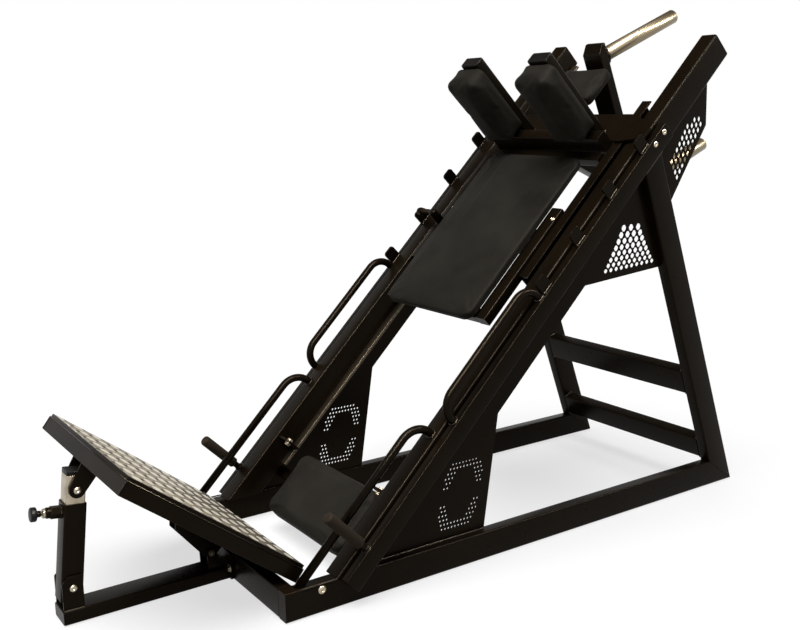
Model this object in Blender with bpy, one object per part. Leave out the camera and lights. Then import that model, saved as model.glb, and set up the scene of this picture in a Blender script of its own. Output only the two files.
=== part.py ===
# Leg press hack squat machine.
# Metres, +Z up, +X is the lifter's left. The origin is on the floor under the middle of the front
# cross tube. Most pieces are drawn in the incline's own directions: t runs up the rails, n stands
# square to them, and n = 0 is the top face of the main beams.

import bpy
import bmesh
from math import radians, sin, cos, tan, pi, sqrt
from mathutils import Vector
from mathutils.geometry import tessellate_polygon

for item in list(bpy.data.objects):
    bpy.data.objects.remove(item, do_unlink=True)

# Clearances and walls
SEAT = 0.0003
RUNNING_GAP = 0.001
TUBE_WALL = 0.003
PLATE = 0.005

# Base frame
FRAME_WIDTH = 0.760
RAIL_WIDTH = 0.042
RAIL_HEIGHT = 0.0856
RAIL_LENGTH = 1.847
RAIL_MITRE = 0.1257
REAR_TUBE_DEPTH = 0.042
LOWER_REAR_TUBE = 0.0805
LOWER_REAR_Z = 0.1328
UPPER_REAR_TUBE = 0.092
UPPER_REAR_Z = 0.3925

# Incline
INCLINE = radians(44.95)
INCLINE_START = 0.0711
BEAM_WIDTH = 0.064
BEAM_OVERHANG = 0.003
BEAM_DEPTH = 0.0905
BEAM_PAST_UPRIGHT = 0.4293

# Rear uprights
UPRIGHT_LEAN = 0.3647
UPRIGHT_DEPTH = 0.0945

# Catch rails and catches
CATCH_RAIL_WIDTH = 0.0286
CATCH_RAIL_GROOVE = 0.005
CATCH_RAIL_TOP = 0.009
CATCH_RAIL_DEPTH = 0.056
CATCH_RAIL_START = 0.130
CATCH_RAIL_END = 1.840
CATCH_COUNT = 4
CATCH_FIRST = 1.163
CATCH_PITCH = 0.188
CATCH_LENGTH = 0.045
CATCH_THICKNESS = 0.008
CATCH_HEIGHT = 0.040

# Guide tracks and rollers
TRACK_WIDTH = 0.029
TRACK_HEIGHT = 0.010
TRACK_DROP = 0.0755
TRACK_START = 0.330
TRACK_SHORT = 0.0269
ROLLER_RADIUS = 0.028
ROLLER_WIDTH = 0.016
ROLLER_SIDE_GAP = 0.0105
AXLE_RADIUS = 0.010
AXLE_CLEARANCE = 0.0004
ROLLER_INSET = 0.062

# Gusset plates: the ring is placed from the front face of the rails, the hexagons from the corner
# where the upright meets the beam
GUSSET_INSET = 0.030
GUSSET_FOOT = 0.700
GUSSET_REAR_DROP = 0.3137
STRIP_DEPTH = 0.080
STRIP_LOW = 0.7966
STRIP_SHORT = 0.4037
HEX_ROWS = 8
HEX_FIRST_COUNT = 3
HEX_LEFT_Y = -0.0608
HEX_LEFT_RUN = 0.077
HEX_RIGHT_Y = 0.0052
HEX_RIGHT_RUN = 0.070
HEX_TOP_DROP = 0.1732
HEX_DROP = 0.132
HEX_CLOSING_RATIO = 0.955
HEX_TILT = 0.014
HEX_WIDTH = 0.026
HEX_WIDTH_LOSS = 0.006
HEX_HEIGHT = 0.0215
HEX_HEIGHT_LOSS = 0.008
RING_Y = 0.617
RING_Z = 0.2225
RING_HALF_Y = 0.082
RING_HALF_Z = 0.105
RING_INNER_RATIO = 0.66
RING_BREAK = 0.020
RING_LEAN_RATIO = 0.10
RING_ROWS = 7
RING_COLUMNS = 7
RING_HOLE = 0.0085
HOLE_GRID = 0.0125
HOLE_ROW = 0.0145
FIN_LOW_DROP = 0.1925
FIN_REAR_REACH = 0.2444
FIN_REAR_RISE = 0.0751
FIN_TOP_REACH = 0.2404
FIN_ROWS = 11
FIN_COUNT = 4
FIN_COLUMN = 0.0215
FIN_HOLE = 0.0165
FIN_HOLE_REACH = 0.1884
FIN_HOLE_RISE = 0.0931

# Grab bars and pegs
BAR_RADIUS = 0.0125
UPPER_BAR_BEND = 0.060
LOWER_BAR_BEND = 0.070
UPPER_BAR_OFF = 0.0135
UPPER_BAR_RISE = 0.058
UPPER_BAR_LOW = 0.670
UPPER_BAR_HIGH = 1.1265
LOWER_BAR_INSET = 0.025
LOWER_BAR_RISE = 0.073
LOWER_BAR_HIGH = 0.607
PEG_T = 0.2355
PEG_LENGTH = 0.165
PEG_RADIUS = 0.010
GRIP_RADIUS = 0.017
GRIP_LENGTH = 0.145
GRIP_END = 0.006

# Stops and seat
STOP_T = 0.395
STOP_PLATE = 0.008
STOP_WIDTH = 0.058
STOP_HIGH = 0.010
SEAT_SIDE_GAP = 0.089
SEAT_LOW = 0.173
SEAT_HIGH = 0.403
SEAT_TOP = 0.058
SEAT_THICKNESS = 0.048
SEAT_BOARD = 0.012
SEAT_TUBE = 0.035
SEAT_TUBE_T = 0.310

# Carriage
CHANNEL_SIDE_GAP = 0.010
CHANNEL_WEB = 0.006
CHANNEL_FLANGE = 0.005
CHANNEL_WIDTH = 0.040
CHANNEL_BELOW = 0.520
CHANNEL_ABOVE = 0.224
CHANNEL_TOP = 0.004
PAD_TUBE_WIDTH = 0.050
PAD_TUBE_DEPTH = 0.035
PAD_TUBE_TOP = 0.015
PAD_TUBE_BELOW = 0.700
PAD_TUBE_SHORT = 0.253
UPPER_TUBE_GAP = 0.010
CROSSBEAM_T = 1.700
CROSSBEAM_THICK = 0.0394
CROSSBEAM_HEIGHT = 0.0835
CROSSBEAM_TOP = 0.0615
SHOULDER_PLATE_TOP = 0.0125
SHOULDER_PLATE_LENGTH = 0.118
SHOULDER_PLATE_OVERHANG = 0.0115
SHOULDER_PLATE_FRONT = 0.031
SHOULDER_PLATE_SWEEP = 0.0173
SHOULDER_PLATE_SIDE = 0.060
SHOULDER_POST_X = 0.170
SHOULDER_POST_WIDTH = 0.084
SHOULDER_POST_TOP = 0.360

# Cushions
BACK_PAD_INSET = 0.0355
BACK_PAD_BELOW = 0.728
BACK_PAD_SHORT = 0.053
BACK_PAD_BASE = 0.020
BACK_PAD_THICK = 0.032
BACK_BAND_SIDE = 0.1285
BACK_BAND_DROP = 0.006
SHOULDER_PAD_HALF = 0.065
SHOULDER_PAD_X = 0.175
SHOULDER_PAD_LOW = 0.075
SHOULDER_PAD_HIGH = 0.345
SHOULDER_PAD_THICK = 0.080
HEAD_PAD_HALF = 0.097
HEAD_PAD_PAST = 0.170
HEAD_PAD_LENGTH = 0.140
HEAD_PAD_BASE = 0.040
HEAD_PAD_THICK = 0.032

# Weight horns
HORN_TILT = radians(22.5)
HORN_WIDTH = 0.0835
HORN_DEPTH = 0.0394
HORN_PAST = 0.3858
HORN_N = 0.05845
HORN_PITCH = 0.506
HORN_ABOVE = 0.053
HORN_BELOW = 0.045
BRACE_WIDTH = 0.060
BRACE_DEPTH = 0.036
SPINE_WIDTH = 0.060
SLEEVE_RADIUS = 0.025
SLEEVE_LENGTH = 0.396
COLLAR_RADIUS = 0.040
COLLAR_LENGTH = 0.014

# Latch lever
LATCH_BELOW = 0.355
LATCH_HUB_RADIUS = 0.015
LATCH_HUB_TOP = 0.061
LATCH_BAR_RADIUS = 0.011
LATCH_BAR_N = 0.048
LATCH_REACH = 0.091

# Footplate and its arm
ARM_WIDTH = 0.0835
ARM_HEIGHT = 0.0394
ARM_REACH = 0.5065
FLANGE_THICK = 0.008
EAR_GAP = 0.0012
EAR_THICK = 0.006
LUG_X = 0.018
LUG_LOW = 0.270
LUG_HIGH = 0.470
EAR_SPREAD = 0.090
TREAD_HALF = 0.326
TREAD_LENGTH = 0.588
TREAD_SLOPE = radians(37.75)
TREAD_FRONT_Y = -0.377
TREAD_FRONT_Z = 0.478
TREAD_THICK = 0.003
TRAY_SKIRT = 0.045
TRAY_WALL = 0.004
HINGE_Y = -0.055
HINGE_Z = 0.090
PIN_RADIUS = 0.008
PIN_CLEARANCE = 0.0005

# Adjusting post
FOOT_PIN_Y = -0.457
FOOT_PIN_Z = 0.100
FOOT_EAR_FRONT = 0.030
FOOT_EAR_BACK = 0.027
FOOT_EAR_ABOVE = 0.035
FOOT_EAR_CHAMFER = 0.018
TOP_PIN_Y = -0.425
TOP_PIN_Z = 0.371
POST_SIZE = 0.060
POST_WALL = 0.0035
POST_BELOW = 0.040
POST_ABOVE = 0.232
INNER_WALL = 0.003
SLIDE_CLEARANCE = 0.0004
INNER_BELOW = 0.195
INNER_ABOVE = 0.050
TOP_PIN_SLACK = 0.0024
PULL_ABOVE = 0.207
PULL_SLEEVE_RADIUS = 0.018
PULL_SLEEVE_LENGTH = 0.042
PULL_PIN_RADIUS = 0.006
KNOB_RADIUS = 0.0215
KNOB_LENGTH = 0.018

RAIL_OUT = FRAME_WIDTH / 2
RAIL_IN = RAIL_OUT - RAIL_WIDTH
BEAM_OUT = RAIL_OUT + BEAM_OVERHANG
BEAM_IN = BEAM_OUT - BEAM_WIDTH
SLIDE = Vector((0.0, cos(INCLINE), sin(INCLINE)))
SQUARE = Vector((0.0, -sin(INCLINE), cos(INCLINE)))
ACROSS = Vector((1.0, 0.0, 0.0))
UP = Vector((0.0, 0.0, 1.0))

# Places that follow from the values above
UPRIGHT_T = ((RAIL_LENGTH - INCLINE_START - BEAM_DEPTH * (SLIDE.z - UPRIGHT_LEAN * SLIDE.y))
             / (SLIDE.y + UPRIGHT_LEAN * SLIDE.z))
BEAM_TOP = UPRIGHT_T + BEAM_PAST_UPRIGHT
TRACK_END = BEAM_TOP - TRACK_SHORT
GUSSET_X = RAIL_OUT - GUSSET_INSET
UPPER_BAR_X = BEAM_OUT + UPPER_BAR_OFF
LOWER_BAR_X = BEAM_OUT - LOWER_BAR_INSET
SEAT_HALF_WIDTH = BEAM_IN - SEAT_SIDE_GAP
CHANNEL_X = BEAM_IN - CHANNEL_SIDE_GAP - CHANNEL_WIDTH
CHANNEL_LOW = CROSSBEAM_T - CHANNEL_BELOW
CHANNEL_HIGH = CROSSBEAM_T + CHANNEL_ABOVE
PAD_TUBE_LOW = CROSSBEAM_T - PAD_TUBE_BELOW
PAD_TUBE_HIGH = CROSSBEAM_T - PAD_TUBE_SHORT
UPPER_TUBE_T = CROSSBEAM_T - UPPER_TUBE_GAP - PAD_TUBE_DEPTH
PLATE_LOW_T = CROSSBEAM_T + CROSSBEAM_THICK + SEAT
SHOULDER_PLATE_END = PLATE_LOW_T + SHOULDER_PLATE_LENGTH
SHOULDER_PLATE_HALF = BEAM_OUT + SHOULDER_PLATE_OVERHANG
BACK_PAD_HALF = CHANNEL_X - BACK_PAD_INSET
BACK_BAND_HALF = BACK_PAD_HALF - BACK_BAND_SIDE
BACK_PAD_LOW = CROSSBEAM_T - BACK_PAD_BELOW
BACK_PAD_HIGH = CROSSBEAM_T - BACK_PAD_SHORT
HEAD_PAD_LOW = CROSSBEAM_T + HEAD_PAD_PAST
HEAD_PAD_HIGH = HEAD_PAD_LOW + HEAD_PAD_LENGTH
LATCH_T = CROSSBEAM_T - LATCH_BELOW
LATCH_X = CHANNEL_X + CHANNEL_WIDTH / 2

# Colours of the finishes: base colour, metallic, roughness
FINISHES = {
    "black_powder_coat": ((0.012, 0.012, 0.013, 1.0), 0.0, 0.38),
    "black_upholstery": ((0.014, 0.014, 0.015, 1.0), 0.0, 0.62),
    "black_rubber": ((0.010, 0.010, 0.010, 1.0), 0.0, 0.75),
    "bright_tread": ((0.45, 0.45, 0.46, 1.0), 1.0, 0.38),
    "chrome": ((0.62, 0.61, 0.60, 1.0), 1.0, 0.14),
    "zinc_steel": ((0.50, 0.50, 0.51, 1.0), 1.0, 0.30),
    "black_plastic": ((0.016, 0.016, 0.017, 1.0), 0.0, 0.48),
    "plywood": ((0.030, 0.028, 0.026, 1.0), 0.0, 0.80),
}


def point(x, t, n):
    """A point given across, up the incline and square to it."""
    return Vector((x, INCLINE_START, 0.0)) + SLIDE * t + SQUARE * n


def empty(name, place, parent=None):
    mark = bpy.data.objects.new(name, None)
    bpy.context.scene.collection.objects.link(mark)
    mark["at"] = list(place)
    mark.location = Vector(place)
    if parent is not None:
        mark.parent = parent
        mark.location = Vector(place) - Vector(parent["at"])
    return mark


ORIGIN = empty("machine_origin", (0.0, 0.0, 0.0))
ORIGIN.location = (0.0, -RAIL_WIDTH / 2, 0.0)


def make(name, shape, finish, group=ORIGIN, pivot=(0.0, 0.0, 0.0), smooth=40.0):
    """Turn a bmesh in frame coordinates into an object with its origin at the pivot."""
    pivot = Vector(pivot)
    bmesh.ops.remove_doubles(shape, verts=shape.verts, dist=0.00002)
    bmesh.ops.recalc_face_normals(shape, faces=shape.faces)
    bmesh.ops.translate(shape, verts=shape.verts, vec=-pivot)
    mesh = bpy.data.meshes.new(name)
    shape.to_mesh(mesh)
    shape.free()
    mesh.shade_smooth()
    mesh.set_sharp_from_angle(angle=radians(smooth))
    piece = bpy.data.objects.new(name, mesh)
    bpy.context.scene.collection.objects.link(piece)
    piece.parent = group
    piece.location = pivot - Vector(group["at"])
    colour, metallic, roughness = FINISHES[finish]
    coat = bpy.data.materials.new(name + "_" + finish)
    coat.use_nodes = True
    shader = coat.node_tree.nodes["Principled BSDF"]
    shader.inputs["Base Color"].default_value = colour
    shader.inputs["Metallic"].default_value = metallic
    shader.inputs["Roughness"].default_value = roughness
    mesh.materials.append(coat)
    return piece


def combine(first, others, operation="UNION"):
    """Boolean of bmesh shapes, exact solver; the working objects are removed again."""
    def temporary(shape):
        bmesh.ops.recalc_face_normals(shape, faces=shape.faces)
        mesh = bpy.data.meshes.new("working")
        shape.to_mesh(mesh)
        shape.free()
        item = bpy.data.objects.new("working", mesh)
        bpy.context.scene.collection.objects.link(item)
        return item

    base = temporary(first)
    tools = [temporary(other) for other in others]
    for tool in tools:
        step = base.modifiers.new("join", "BOOLEAN")
        step.operation = operation
        step.solver = "EXACT"
        step.object = tool
    graph = bpy.context.evaluated_depsgraph_get()
    graph.update()
    result = bmesh.new()
    result.from_mesh(base.evaluated_get(graph).to_mesh())
    for item in [base] + tools:
        bpy.data.objects.remove(item, do_unlink=True)
    bmesh.ops.remove_doubles(result, verts=result.verts, dist=0.00002)
    bmesh.ops.dissolve_limit(result, angle_limit=radians(0.1), verts=result.verts, edges=result.edges)
    return result


def rectangle(width, depth, corner=0.0, steps=2):
    """Rectangle outline round the origin with rounded corners."""
    if corner <= 0.0:
        return [(width / 2, depth / 2), (-width / 2, depth / 2), (-width / 2, -depth / 2), (width / 2, -depth / 2)]
    outline = []
    for quarter, (sx, sy) in enumerate([(1, 1), (-1, 1), (-1, -1), (1, -1)]):
        for step in range(steps + 1):
            angle = pi / 2 * (quarter + step / steps)
            outline.append((sx * (width / 2 - corner) + corner * cos(angle),
                            sy * (depth / 2 - corner) + corner * sin(angle)))
    return outline


def circle(radius, sides, turn=0.0):
    return [(radius * cos(turn + 2 * pi * i / sides), radius * sin(turn + 2 * pi * i / sides)) for i in range(sides)]


def meet(start, way, plane):
    """Where a line meets a plane given as a point and a normal."""
    spot, normal = plane
    return start + way * ((spot - start).dot(normal) / way.dot(normal))


def extrusion(outline, centre, side, up, low, high, bores=(), blind_low=0.0, blind_high=0.0):
    """A profile drawn along its axis between two end planes, which may be mitred.

    Each bore is an inner profile. A blind length closes that end of the bores.
    """
    side = Vector(side)
    up = Vector(up)
    way = side.cross(up).normalized()
    if (high[0] - low[0]).dot(way) < 0.0:
        way = -way
    centre = Vector(centre)
    shape = bmesh.new()
    loops = [outline] + [list(bore) for bore in bores]
    rings = []
    for number, loop in enumerate(loops):
        starts = [meet(centre + side * a + up * b, way, low) for a, b in loop]
        ends = [meet(centre + side * a + up * b, way, high) for a, b in loop]
        if number and blind_low:
            starts = [spot + way * blind_low for spot in starts]
        if number and blind_high:
            ends = [spot - way * blind_high for spot in ends]
        rings.append(([shape.verts.new(v) for v in starts], [shape.verts.new(v) for v in ends]))
    for bottom, top in rings:
        count = len(bottom)
        for i in range(count):
            shape.faces.new((bottom[i], bottom[(i + 1) % count], top[(i + 1) % count], top[i]))
    for end, blind in ((0, blind_low), (1, blind_high)):
        if len(rings) == 1 or blind:
            for ring in rings:
                shape.faces.new(ring[end])
            continue
        flat = [[Vector((a, b, 0.0)) for a, b in loop] for loop in loops]
        corners = [vertex for ring in rings for vertex in ring[end]]
        for triangle in tessellate_polygon(flat):
            shape.faces.new([corners[i] for i in triangle])
    return shape


def slab(outline, low, high, origin=(0.0, 0.0, 0.0), side=(0, 1, 0), up=(0, 0, 1), bores=()):
    """A flat plate: its outline in the plane of side and up, from low to high across it."""
    way = Vector(side).cross(Vector(up)).normalized()
    origin = Vector(origin)
    return extrusion(outline, origin, side, up, (origin + way * low, way), (origin + way * high, way), bores)


def box_tube(width, depth, corner=0.005, wall=TUBE_WALL):
    """Outer and inner profile of a rectangular tube."""
    outer = rectangle(width, depth, corner)
    inner = rectangle(width - 2 * wall, depth - 2 * wall)
    return outer, [inner]


def cross_tube(half, height, depth, centre, low_up, wall=TUBE_WALL):
    """A tube lying across the machine between x = -half and x = half."""
    outer, inner = box_tube(depth, height, wall=wall)
    return extrusion(outer, centre, low_up[0], low_up[1], (Vector((-half, 0, 0)), ACROSS),
                     (Vector((half, 0, 0)), ACROSS), inner)


def cylinder(radius, start, end, sides=16, turn=0.0):
    start = Vector(start)
    end = Vector(end)
    way = (end - start).normalized()
    side = way.orthogonal().normalized()
    up = way.cross(side)
    return extrusion(circle(radius, sides, turn), start, side, up, (start, way), (end, way))


def turned(profile, start, way, sides=20):
    """A turned piece: (distance along, radius) pairs from one end to the other, flat ends."""
    start = Vector(start)
    way = Vector(way).normalized()
    side = way.orthogonal().normalized()
    up = way.cross(side)
    shape = bmesh.new()
    rings = []
    for along, radius in profile:
        rings.append([shape.verts.new(start + way * along + side * (radius * cos(2 * pi * i / sides))
                                      + up * (radius * sin(2 * pi * i / sides))) for i in range(sides)])
    for first, second in zip(rings, rings[1:]):
        for i in range(sides):
            shape.faces.new((first[i], first[(i + 1) % sides], second[(i + 1) % sides], second[i]))
    shape.faces.new(rings[0])
    shape.faces.new(rings[-1])
    return shape


def rounded_path(corners, radius, steps=4):
    """Points along a bent bar: straight runs joined by arcs of the given radius."""
    path = [Vector(corners[0])]
    for before, corner, after in zip(corners, corners[1:], corners[2:]):
        corner = Vector(corner)
        back = (Vector(before) - corner).normalized()
        ahead = (Vector(after) - corner).normalized()
        half = back.angle(ahead) / 2
        reach = radius / tan(half)
        middle = corner + (back + ahead).normalized() * (radius / sin(half))
        first = corner + back * reach - middle
        last = corner + ahead * reach - middle
        sweep = first.angle(last)
        for step in range(steps + 1):
            share = step / steps
            path.append(middle + (first * sin((1 - share) * sweep) + last * sin(share * sweep)) / sin(sweep))
    path.append(Vector(corners[-1]))
    return path


def bent_bar(path, radius, low, high, sides=10):
    """A round bar along a path in one plane; its ends are cut on the two given planes."""
    normal = (path[1] - path[0]).cross(path[-1] - path[0]).normalized()
    shape = bmesh.new()
    rings = []
    for i, spot in enumerate(path):
        into = (spot - path[i - 1]).normalized() if i else (path[1] - path[0]).normalized()
        out = (path[i + 1] - spot).normalized() if i + 1 < len(path) else into
        mean = (into + out).normalized()
        stretch = 1.0 / mean.dot(into)
        bend = normal.cross(mean)
        ring = [spot + normal * (radius * cos(2 * pi * k / sides)) + bend * (radius * stretch * sin(2 * pi * k / sides))
                for k in range(sides)]
        if i == 0:
            ring = [meet(v, into, low) for v in ring]
        if i == len(path) - 1:
            ring = [meet(v, into, high) for v in ring]
        rings.append([shape.verts.new(v) for v in ring])
    for first, second in zip(rings, rings[1:]):
        for k in range(sides):
            shape.faces.new((first[k], first[(k + 1) % sides], second[(k + 1) % sides], second[k]))
    shape.faces.new(rings[0])
    shape.faces.new(rings[-1])
    return shape


def both(name, build, finish, group=ORIGIN, pivot=None):
    """A left piece and its mirror image on the right."""
    for word, sign in (("left", 1), ("right", -1)):
        shape = build()
        spot = Vector(pivot) if pivot is not None else Vector((0.0, 0.0, 0.0))
        if sign < 0:
            for vertex in shape.verts:
                vertex.co.x = -vertex.co.x
            spot.x = -spot.x
        make(name + "_" + word, shape, finish, group, spot)


def cushion(half, low, high, thickness, low_radius, high_radius, crown, origin, side, up, columns=10, rows=12,
            narrow=0.004, band=0.0, drop=0.0, edge=0.018):
    """An upholstered pad: rounded outline, drawn-in sides and a crowned face.

    The face rises from the side by a quarter round of the given edge and by the crown in the
    middle. A band is the half width of a flat middle zone; beside it the face slopes away by the
    drop, most of all at the high end.
    """
    side = Vector(side)
    up = Vector(up)
    out = side.cross(up).normalized()
    origin = Vector(origin)

    def half_width(along):
        from_low = along - low
        from_high = high - along
        width = half
        if from_low < low_radius:
            width = min(width, half - low_radius + sqrt(max(low_radius ** 2 - (low_radius - from_low) ** 2, 0.0)))
        if from_high < high_radius:
            width = min(width, half - high_radius + sqrt(max(high_radius ** 2 - (high_radius - from_high) ** 2, 0.0)))
        return width

    stations = [low + low_radius * (1 - cos(radians(a))) for a in (0, 20, 45, 70)]
    inner_low = low + low_radius
    inner_high = high - high_radius
    stations += [inner_low + (inner_high - inner_low) * k / rows for k in range(rows + 1)]
    stations += [high - high_radius * (1 - cos(radians(a))) for a in (70, 45, 20, 0)]
    shares = [-cos(pi * k / columns) * 0.35 + (2 * k / columns - 1) * 0.65 for k in range(columns + 1)]

    def raise_at(x, along):
        gap_side = half_width(along) - abs(x)
        gap_end = min(along - low, high - along)
        near = min(gap_side, gap_end)
        lip = min(max(near / edge, 0.0), 1.0)
        rounding = sqrt(max(1 - (1 - lip) ** 2, 0.0))
        middle = (1 - (x / half) ** 2) * (1 - ((2 * along - low - high) / (high - low)) ** 4)
        height = thickness - edge * (1 - rounding) - crown + crown * max(middle, 0.0)
        if band:
            beside = min(max((abs(x) - band) / (half - band), 0.0), 1.0)
            share = min(max((along - low) / (high - low), 0.0), 1.0)
            height -= drop * beside * (2.0 - beside) * share * rounding
        return height

    shape = bmesh.new()
    grid = []
    for along in stations:
        row = []
        for share in shares:
            x = share * half_width(along)
            row.append(shape.verts.new(origin + side * x + up * along + out * raise_at(x, along)))
        grid.append(row)
    for first, second in zip(grid, grid[1:]):
        for k in range(columns):
            shape.faces.new((first[k], first[k + 1], second[k + 1], second[k]))
    rim = grid[0][:] + [row[-1] for row in grid[1:]] + grid[-1][-2::-1] + [row[0] for row in grid[-2:0:-1]]
    middle_along = (low + high) / 2
    span = (high - low) / 2

    def ring_at(height, inset):
        ring = []
        for vertex in rim:
            offset = vertex.co - origin
            x = offset.dot(side)
            along = offset.dot(up)
            ring.append(shape.verts.new(origin + side * (x * (1 - inset / half))
                                        + up * (middle_along + (along - middle_along) * (1 - inset / span))
                                        + out * height))
        return ring

    side_height = thickness - edge - crown
    rings = [rim, ring_at(side_height * 0.5, narrow * 0.25), ring_at(0.0, narrow)]
    for first, second in zip(rings, rings[1:]):
        count = len(first)
        for k in range(count):
            shape.faces.new((first[k], first[(k + 1) % count], second[(k + 1) % count], second[k]))
    shape.faces.new(rings[-1])
    return shape


# Base frame
def base_rail():
    outer, inner = box_tube(RAIL_WIDTH, RAIL_HEIGHT)
    centre = Vector((RAIL_OUT - RAIL_WIDTH / 2, 0.0, RAIL_HEIGHT / 2))
    mitre = Vector((0.0, RAIL_HEIGHT, RAIL_MITRE)).normalized()
    rear = (Vector((0.0, RAIL_LENGTH, 0.0)), mitre)
    return extrusion(outer, centre, (-1, 0, 0), UP, (Vector((0, 0, 0)), Vector((0, 1, 0))), rear, inner,
                     blind_low=TUBE_WALL)


def upright():
    lean = Vector((0.0, -UPRIGHT_LEAN, 1.0)).normalized()
    square = Vector((0.0, lean.z, -lean.y))
    depth = UPRIGHT_DEPTH * lean.z
    outer, inner = box_tube(RAIL_WIDTH, depth)
    rear_foot = Vector((RAIL_OUT - RAIL_WIDTH / 2, RAIL_LENGTH, 0.0))
    centre = rear_foot - square * (depth / 2)
    mitre = Vector((0.0, RAIL_HEIGHT, RAIL_MITRE)).normalized()
    foot = (Vector((0.0, RAIL_LENGTH, 0.0)) + mitre * SEAT, mitre)
    head = (point(0.0, 1.0, -BEAM_DEPTH - SEAT), SQUARE)
    return extrusion(outer, centre, (1, 0, 0), square, foot, head, inner)


def main_beam():
    outer, inner = box_tube(BEAM_WIDTH, BEAM_DEPTH, 0.006)
    centre = point((BEAM_IN + BEAM_OUT) / 2, 1.0, -BEAM_DEPTH / 2)
    foot = (Vector((0, 0, RAIL_HEIGHT + SEAT)), UP)
    head = (point(0.0, BEAM_TOP, 0.0), SLIDE)
    return extrusion(outer, centre, ACROSS, SQUARE, foot, head, inner, blind_high=TUBE_WALL)


def rear_tube(height, middle):
    """A cross tube between the uprights, its front face in their front plane."""
    lean = Vector((0.0, -UPRIGHT_LEAN, 1.0)).normalized()
    back = Vector((0.0, lean.z, -lean.y))
    front_y = RAIL_LENGTH - UPRIGHT_DEPTH - UPRIGHT_LEAN * middle
    centre = Vector((0.0, front_y, middle)) + back * (REAR_TUBE_DEPTH / 2)
    return cross_tube(RAIL_IN - SEAT, height, REAR_TUBE_DEPTH, centre, (back, lean))


both("base_rail", base_rail, "black_powder_coat")
both("rear_upright", upright, "black_powder_coat")
both("main_beam", main_beam, "black_powder_coat")
make("front_cross_tube", cross_tube(RAIL_IN - SEAT, RAIL_HEIGHT, RAIL_WIDTH,
                                    (0.0, RAIL_WIDTH / 2, RAIL_HEIGHT / 2), ((0, 1, 0), UP)), "black_powder_coat")
make("rear_lower_cross_tube", rear_tube(LOWER_REAR_TUBE, LOWER_REAR_Z), "black_powder_coat")
make("rear_upper_cross_tube", rear_tube(UPPER_REAR_TUBE, UPPER_REAR_Z), "black_powder_coat")


# Catch rails: a bar hung beside the beam by its bottom lip, with the catches and a peg standing on it
PEG_X = BEAM_OUT + CATCH_RAIL_GROOVE + CATCH_RAIL_WIDTH / 2


def catch_rail():
    inner_x = BEAM_OUT + CATCH_RAIL_GROOVE
    outer_x = inner_x + CATCH_RAIL_WIDTH
    bottom = -CATCH_RAIL_TOP - CATCH_RAIL_DEPTH
    outline = [(inner_x, -CATCH_RAIL_TOP), (outer_x, -CATCH_RAIL_TOP), (outer_x, bottom),
               (BEAM_OUT + SEAT, bottom), (BEAM_OUT + SEAT, bottom + PLATE), (inner_x, bottom + PLATE)]
    start = point(0.0, CATCH_RAIL_START, 0.0)
    end = point(0.0, CATCH_RAIL_END, 0.0)
    wall = TUBE_WALL
    bore = [(inner_x + wall, -CATCH_RAIL_TOP - wall), (inner_x + wall, bottom + PLATE),
            (outer_x - wall, bottom + PLATE), (outer_x - wall, -CATCH_RAIL_TOP - wall)]
    rail = extrusion(outline, point(0.0, 0.0, 0.0), ACROSS, SQUARE, (start, SLIDE), (end, SLIDE), [bore],
                     blind_low=wall)
    middle = (inner_x + outer_x) / 2
    catches = []
    for k in range(CATCH_COUNT):
        place = CATCH_FIRST + k * CATCH_PITCH
        half = CATCH_LENGTH / 2
        cut = CATCH_LENGTH * 0.22
        top = CATCH_HEIGHT
        shape = [(place - half, -CATCH_RAIL_TOP - 0.002), (place + half, -CATCH_RAIL_TOP - 0.002),
                 (place + half, top - cut), (place + half - cut * 0.3, top - cut * 0.3),
                 (place + half - cut, top), (place - half + cut, top),
                 (place - half + cut * 0.3, top - cut * 0.3), (place - half, top - cut)]
        catches.append(slab(shape, middle - CATCH_THICKNESS / 2, middle + CATCH_THICKNESS / 2,
                            point(0.0, 0.0, 0.0), SLIDE, SQUARE))
    ring = PEG_RADIUS + 0.0035
    base = 0.002
    length = base + PEG_LENGTH + CATCH_RAIL_TOP - GRIP_END - SEAT
    peg = turned([(0.0, ring), (base + 0.005, ring), (base + 0.008, PEG_RADIUS), (length, PEG_RADIUS)],
                 point(PEG_X, PEG_T, -CATCH_RAIL_TOP - base), SQUARE, 14)
    return combine(rail, catches + [peg])


both("catch_rail", catch_rail, "black_powder_coat")


def guide_track():
    outline = rectangle(TRACK_WIDTH, TRACK_HEIGHT, 0.0015, 1)
    centre = point(BEAM_IN - SEAT - TRACK_WIDTH / 2, 0.0, -TRACK_DROP - TRACK_HEIGHT / 2)
    return extrusion(outline, centre, ACROSS, SQUARE, (point(0, TRACK_START, 0), SLIDE),
                     (point(0, TRACK_END, 0), SLIDE))


both("guide_track", guide_track, "zinc_steel")


# Gusset plates with their patterns of holes
def crossing(first, along_first, second, along_second):
    """Where two lines of the side view meet, as (y, z)."""
    det = along_first[0] * -along_second[1] + along_second[0] * along_first[1]
    dy = second[0] - first[0]
    dz = second[1] - first[1]
    share = (dy * -along_second[1] + along_second[0] * dz) / det
    return first[0] + along_first[0] * share, first[1] + along_first[1] * share


def side_point(t, n):
    spot = point(0.0, t, n)
    return spot.y, spot.z


def hexagon(y, z, width, height):
    return [(y + width / 2 * cos(radians(a)), z + height / 2 * sin(radians(a)) / sin(radians(60)))
            for a in (0, 60, 120, 180, 240, 300)]


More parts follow.
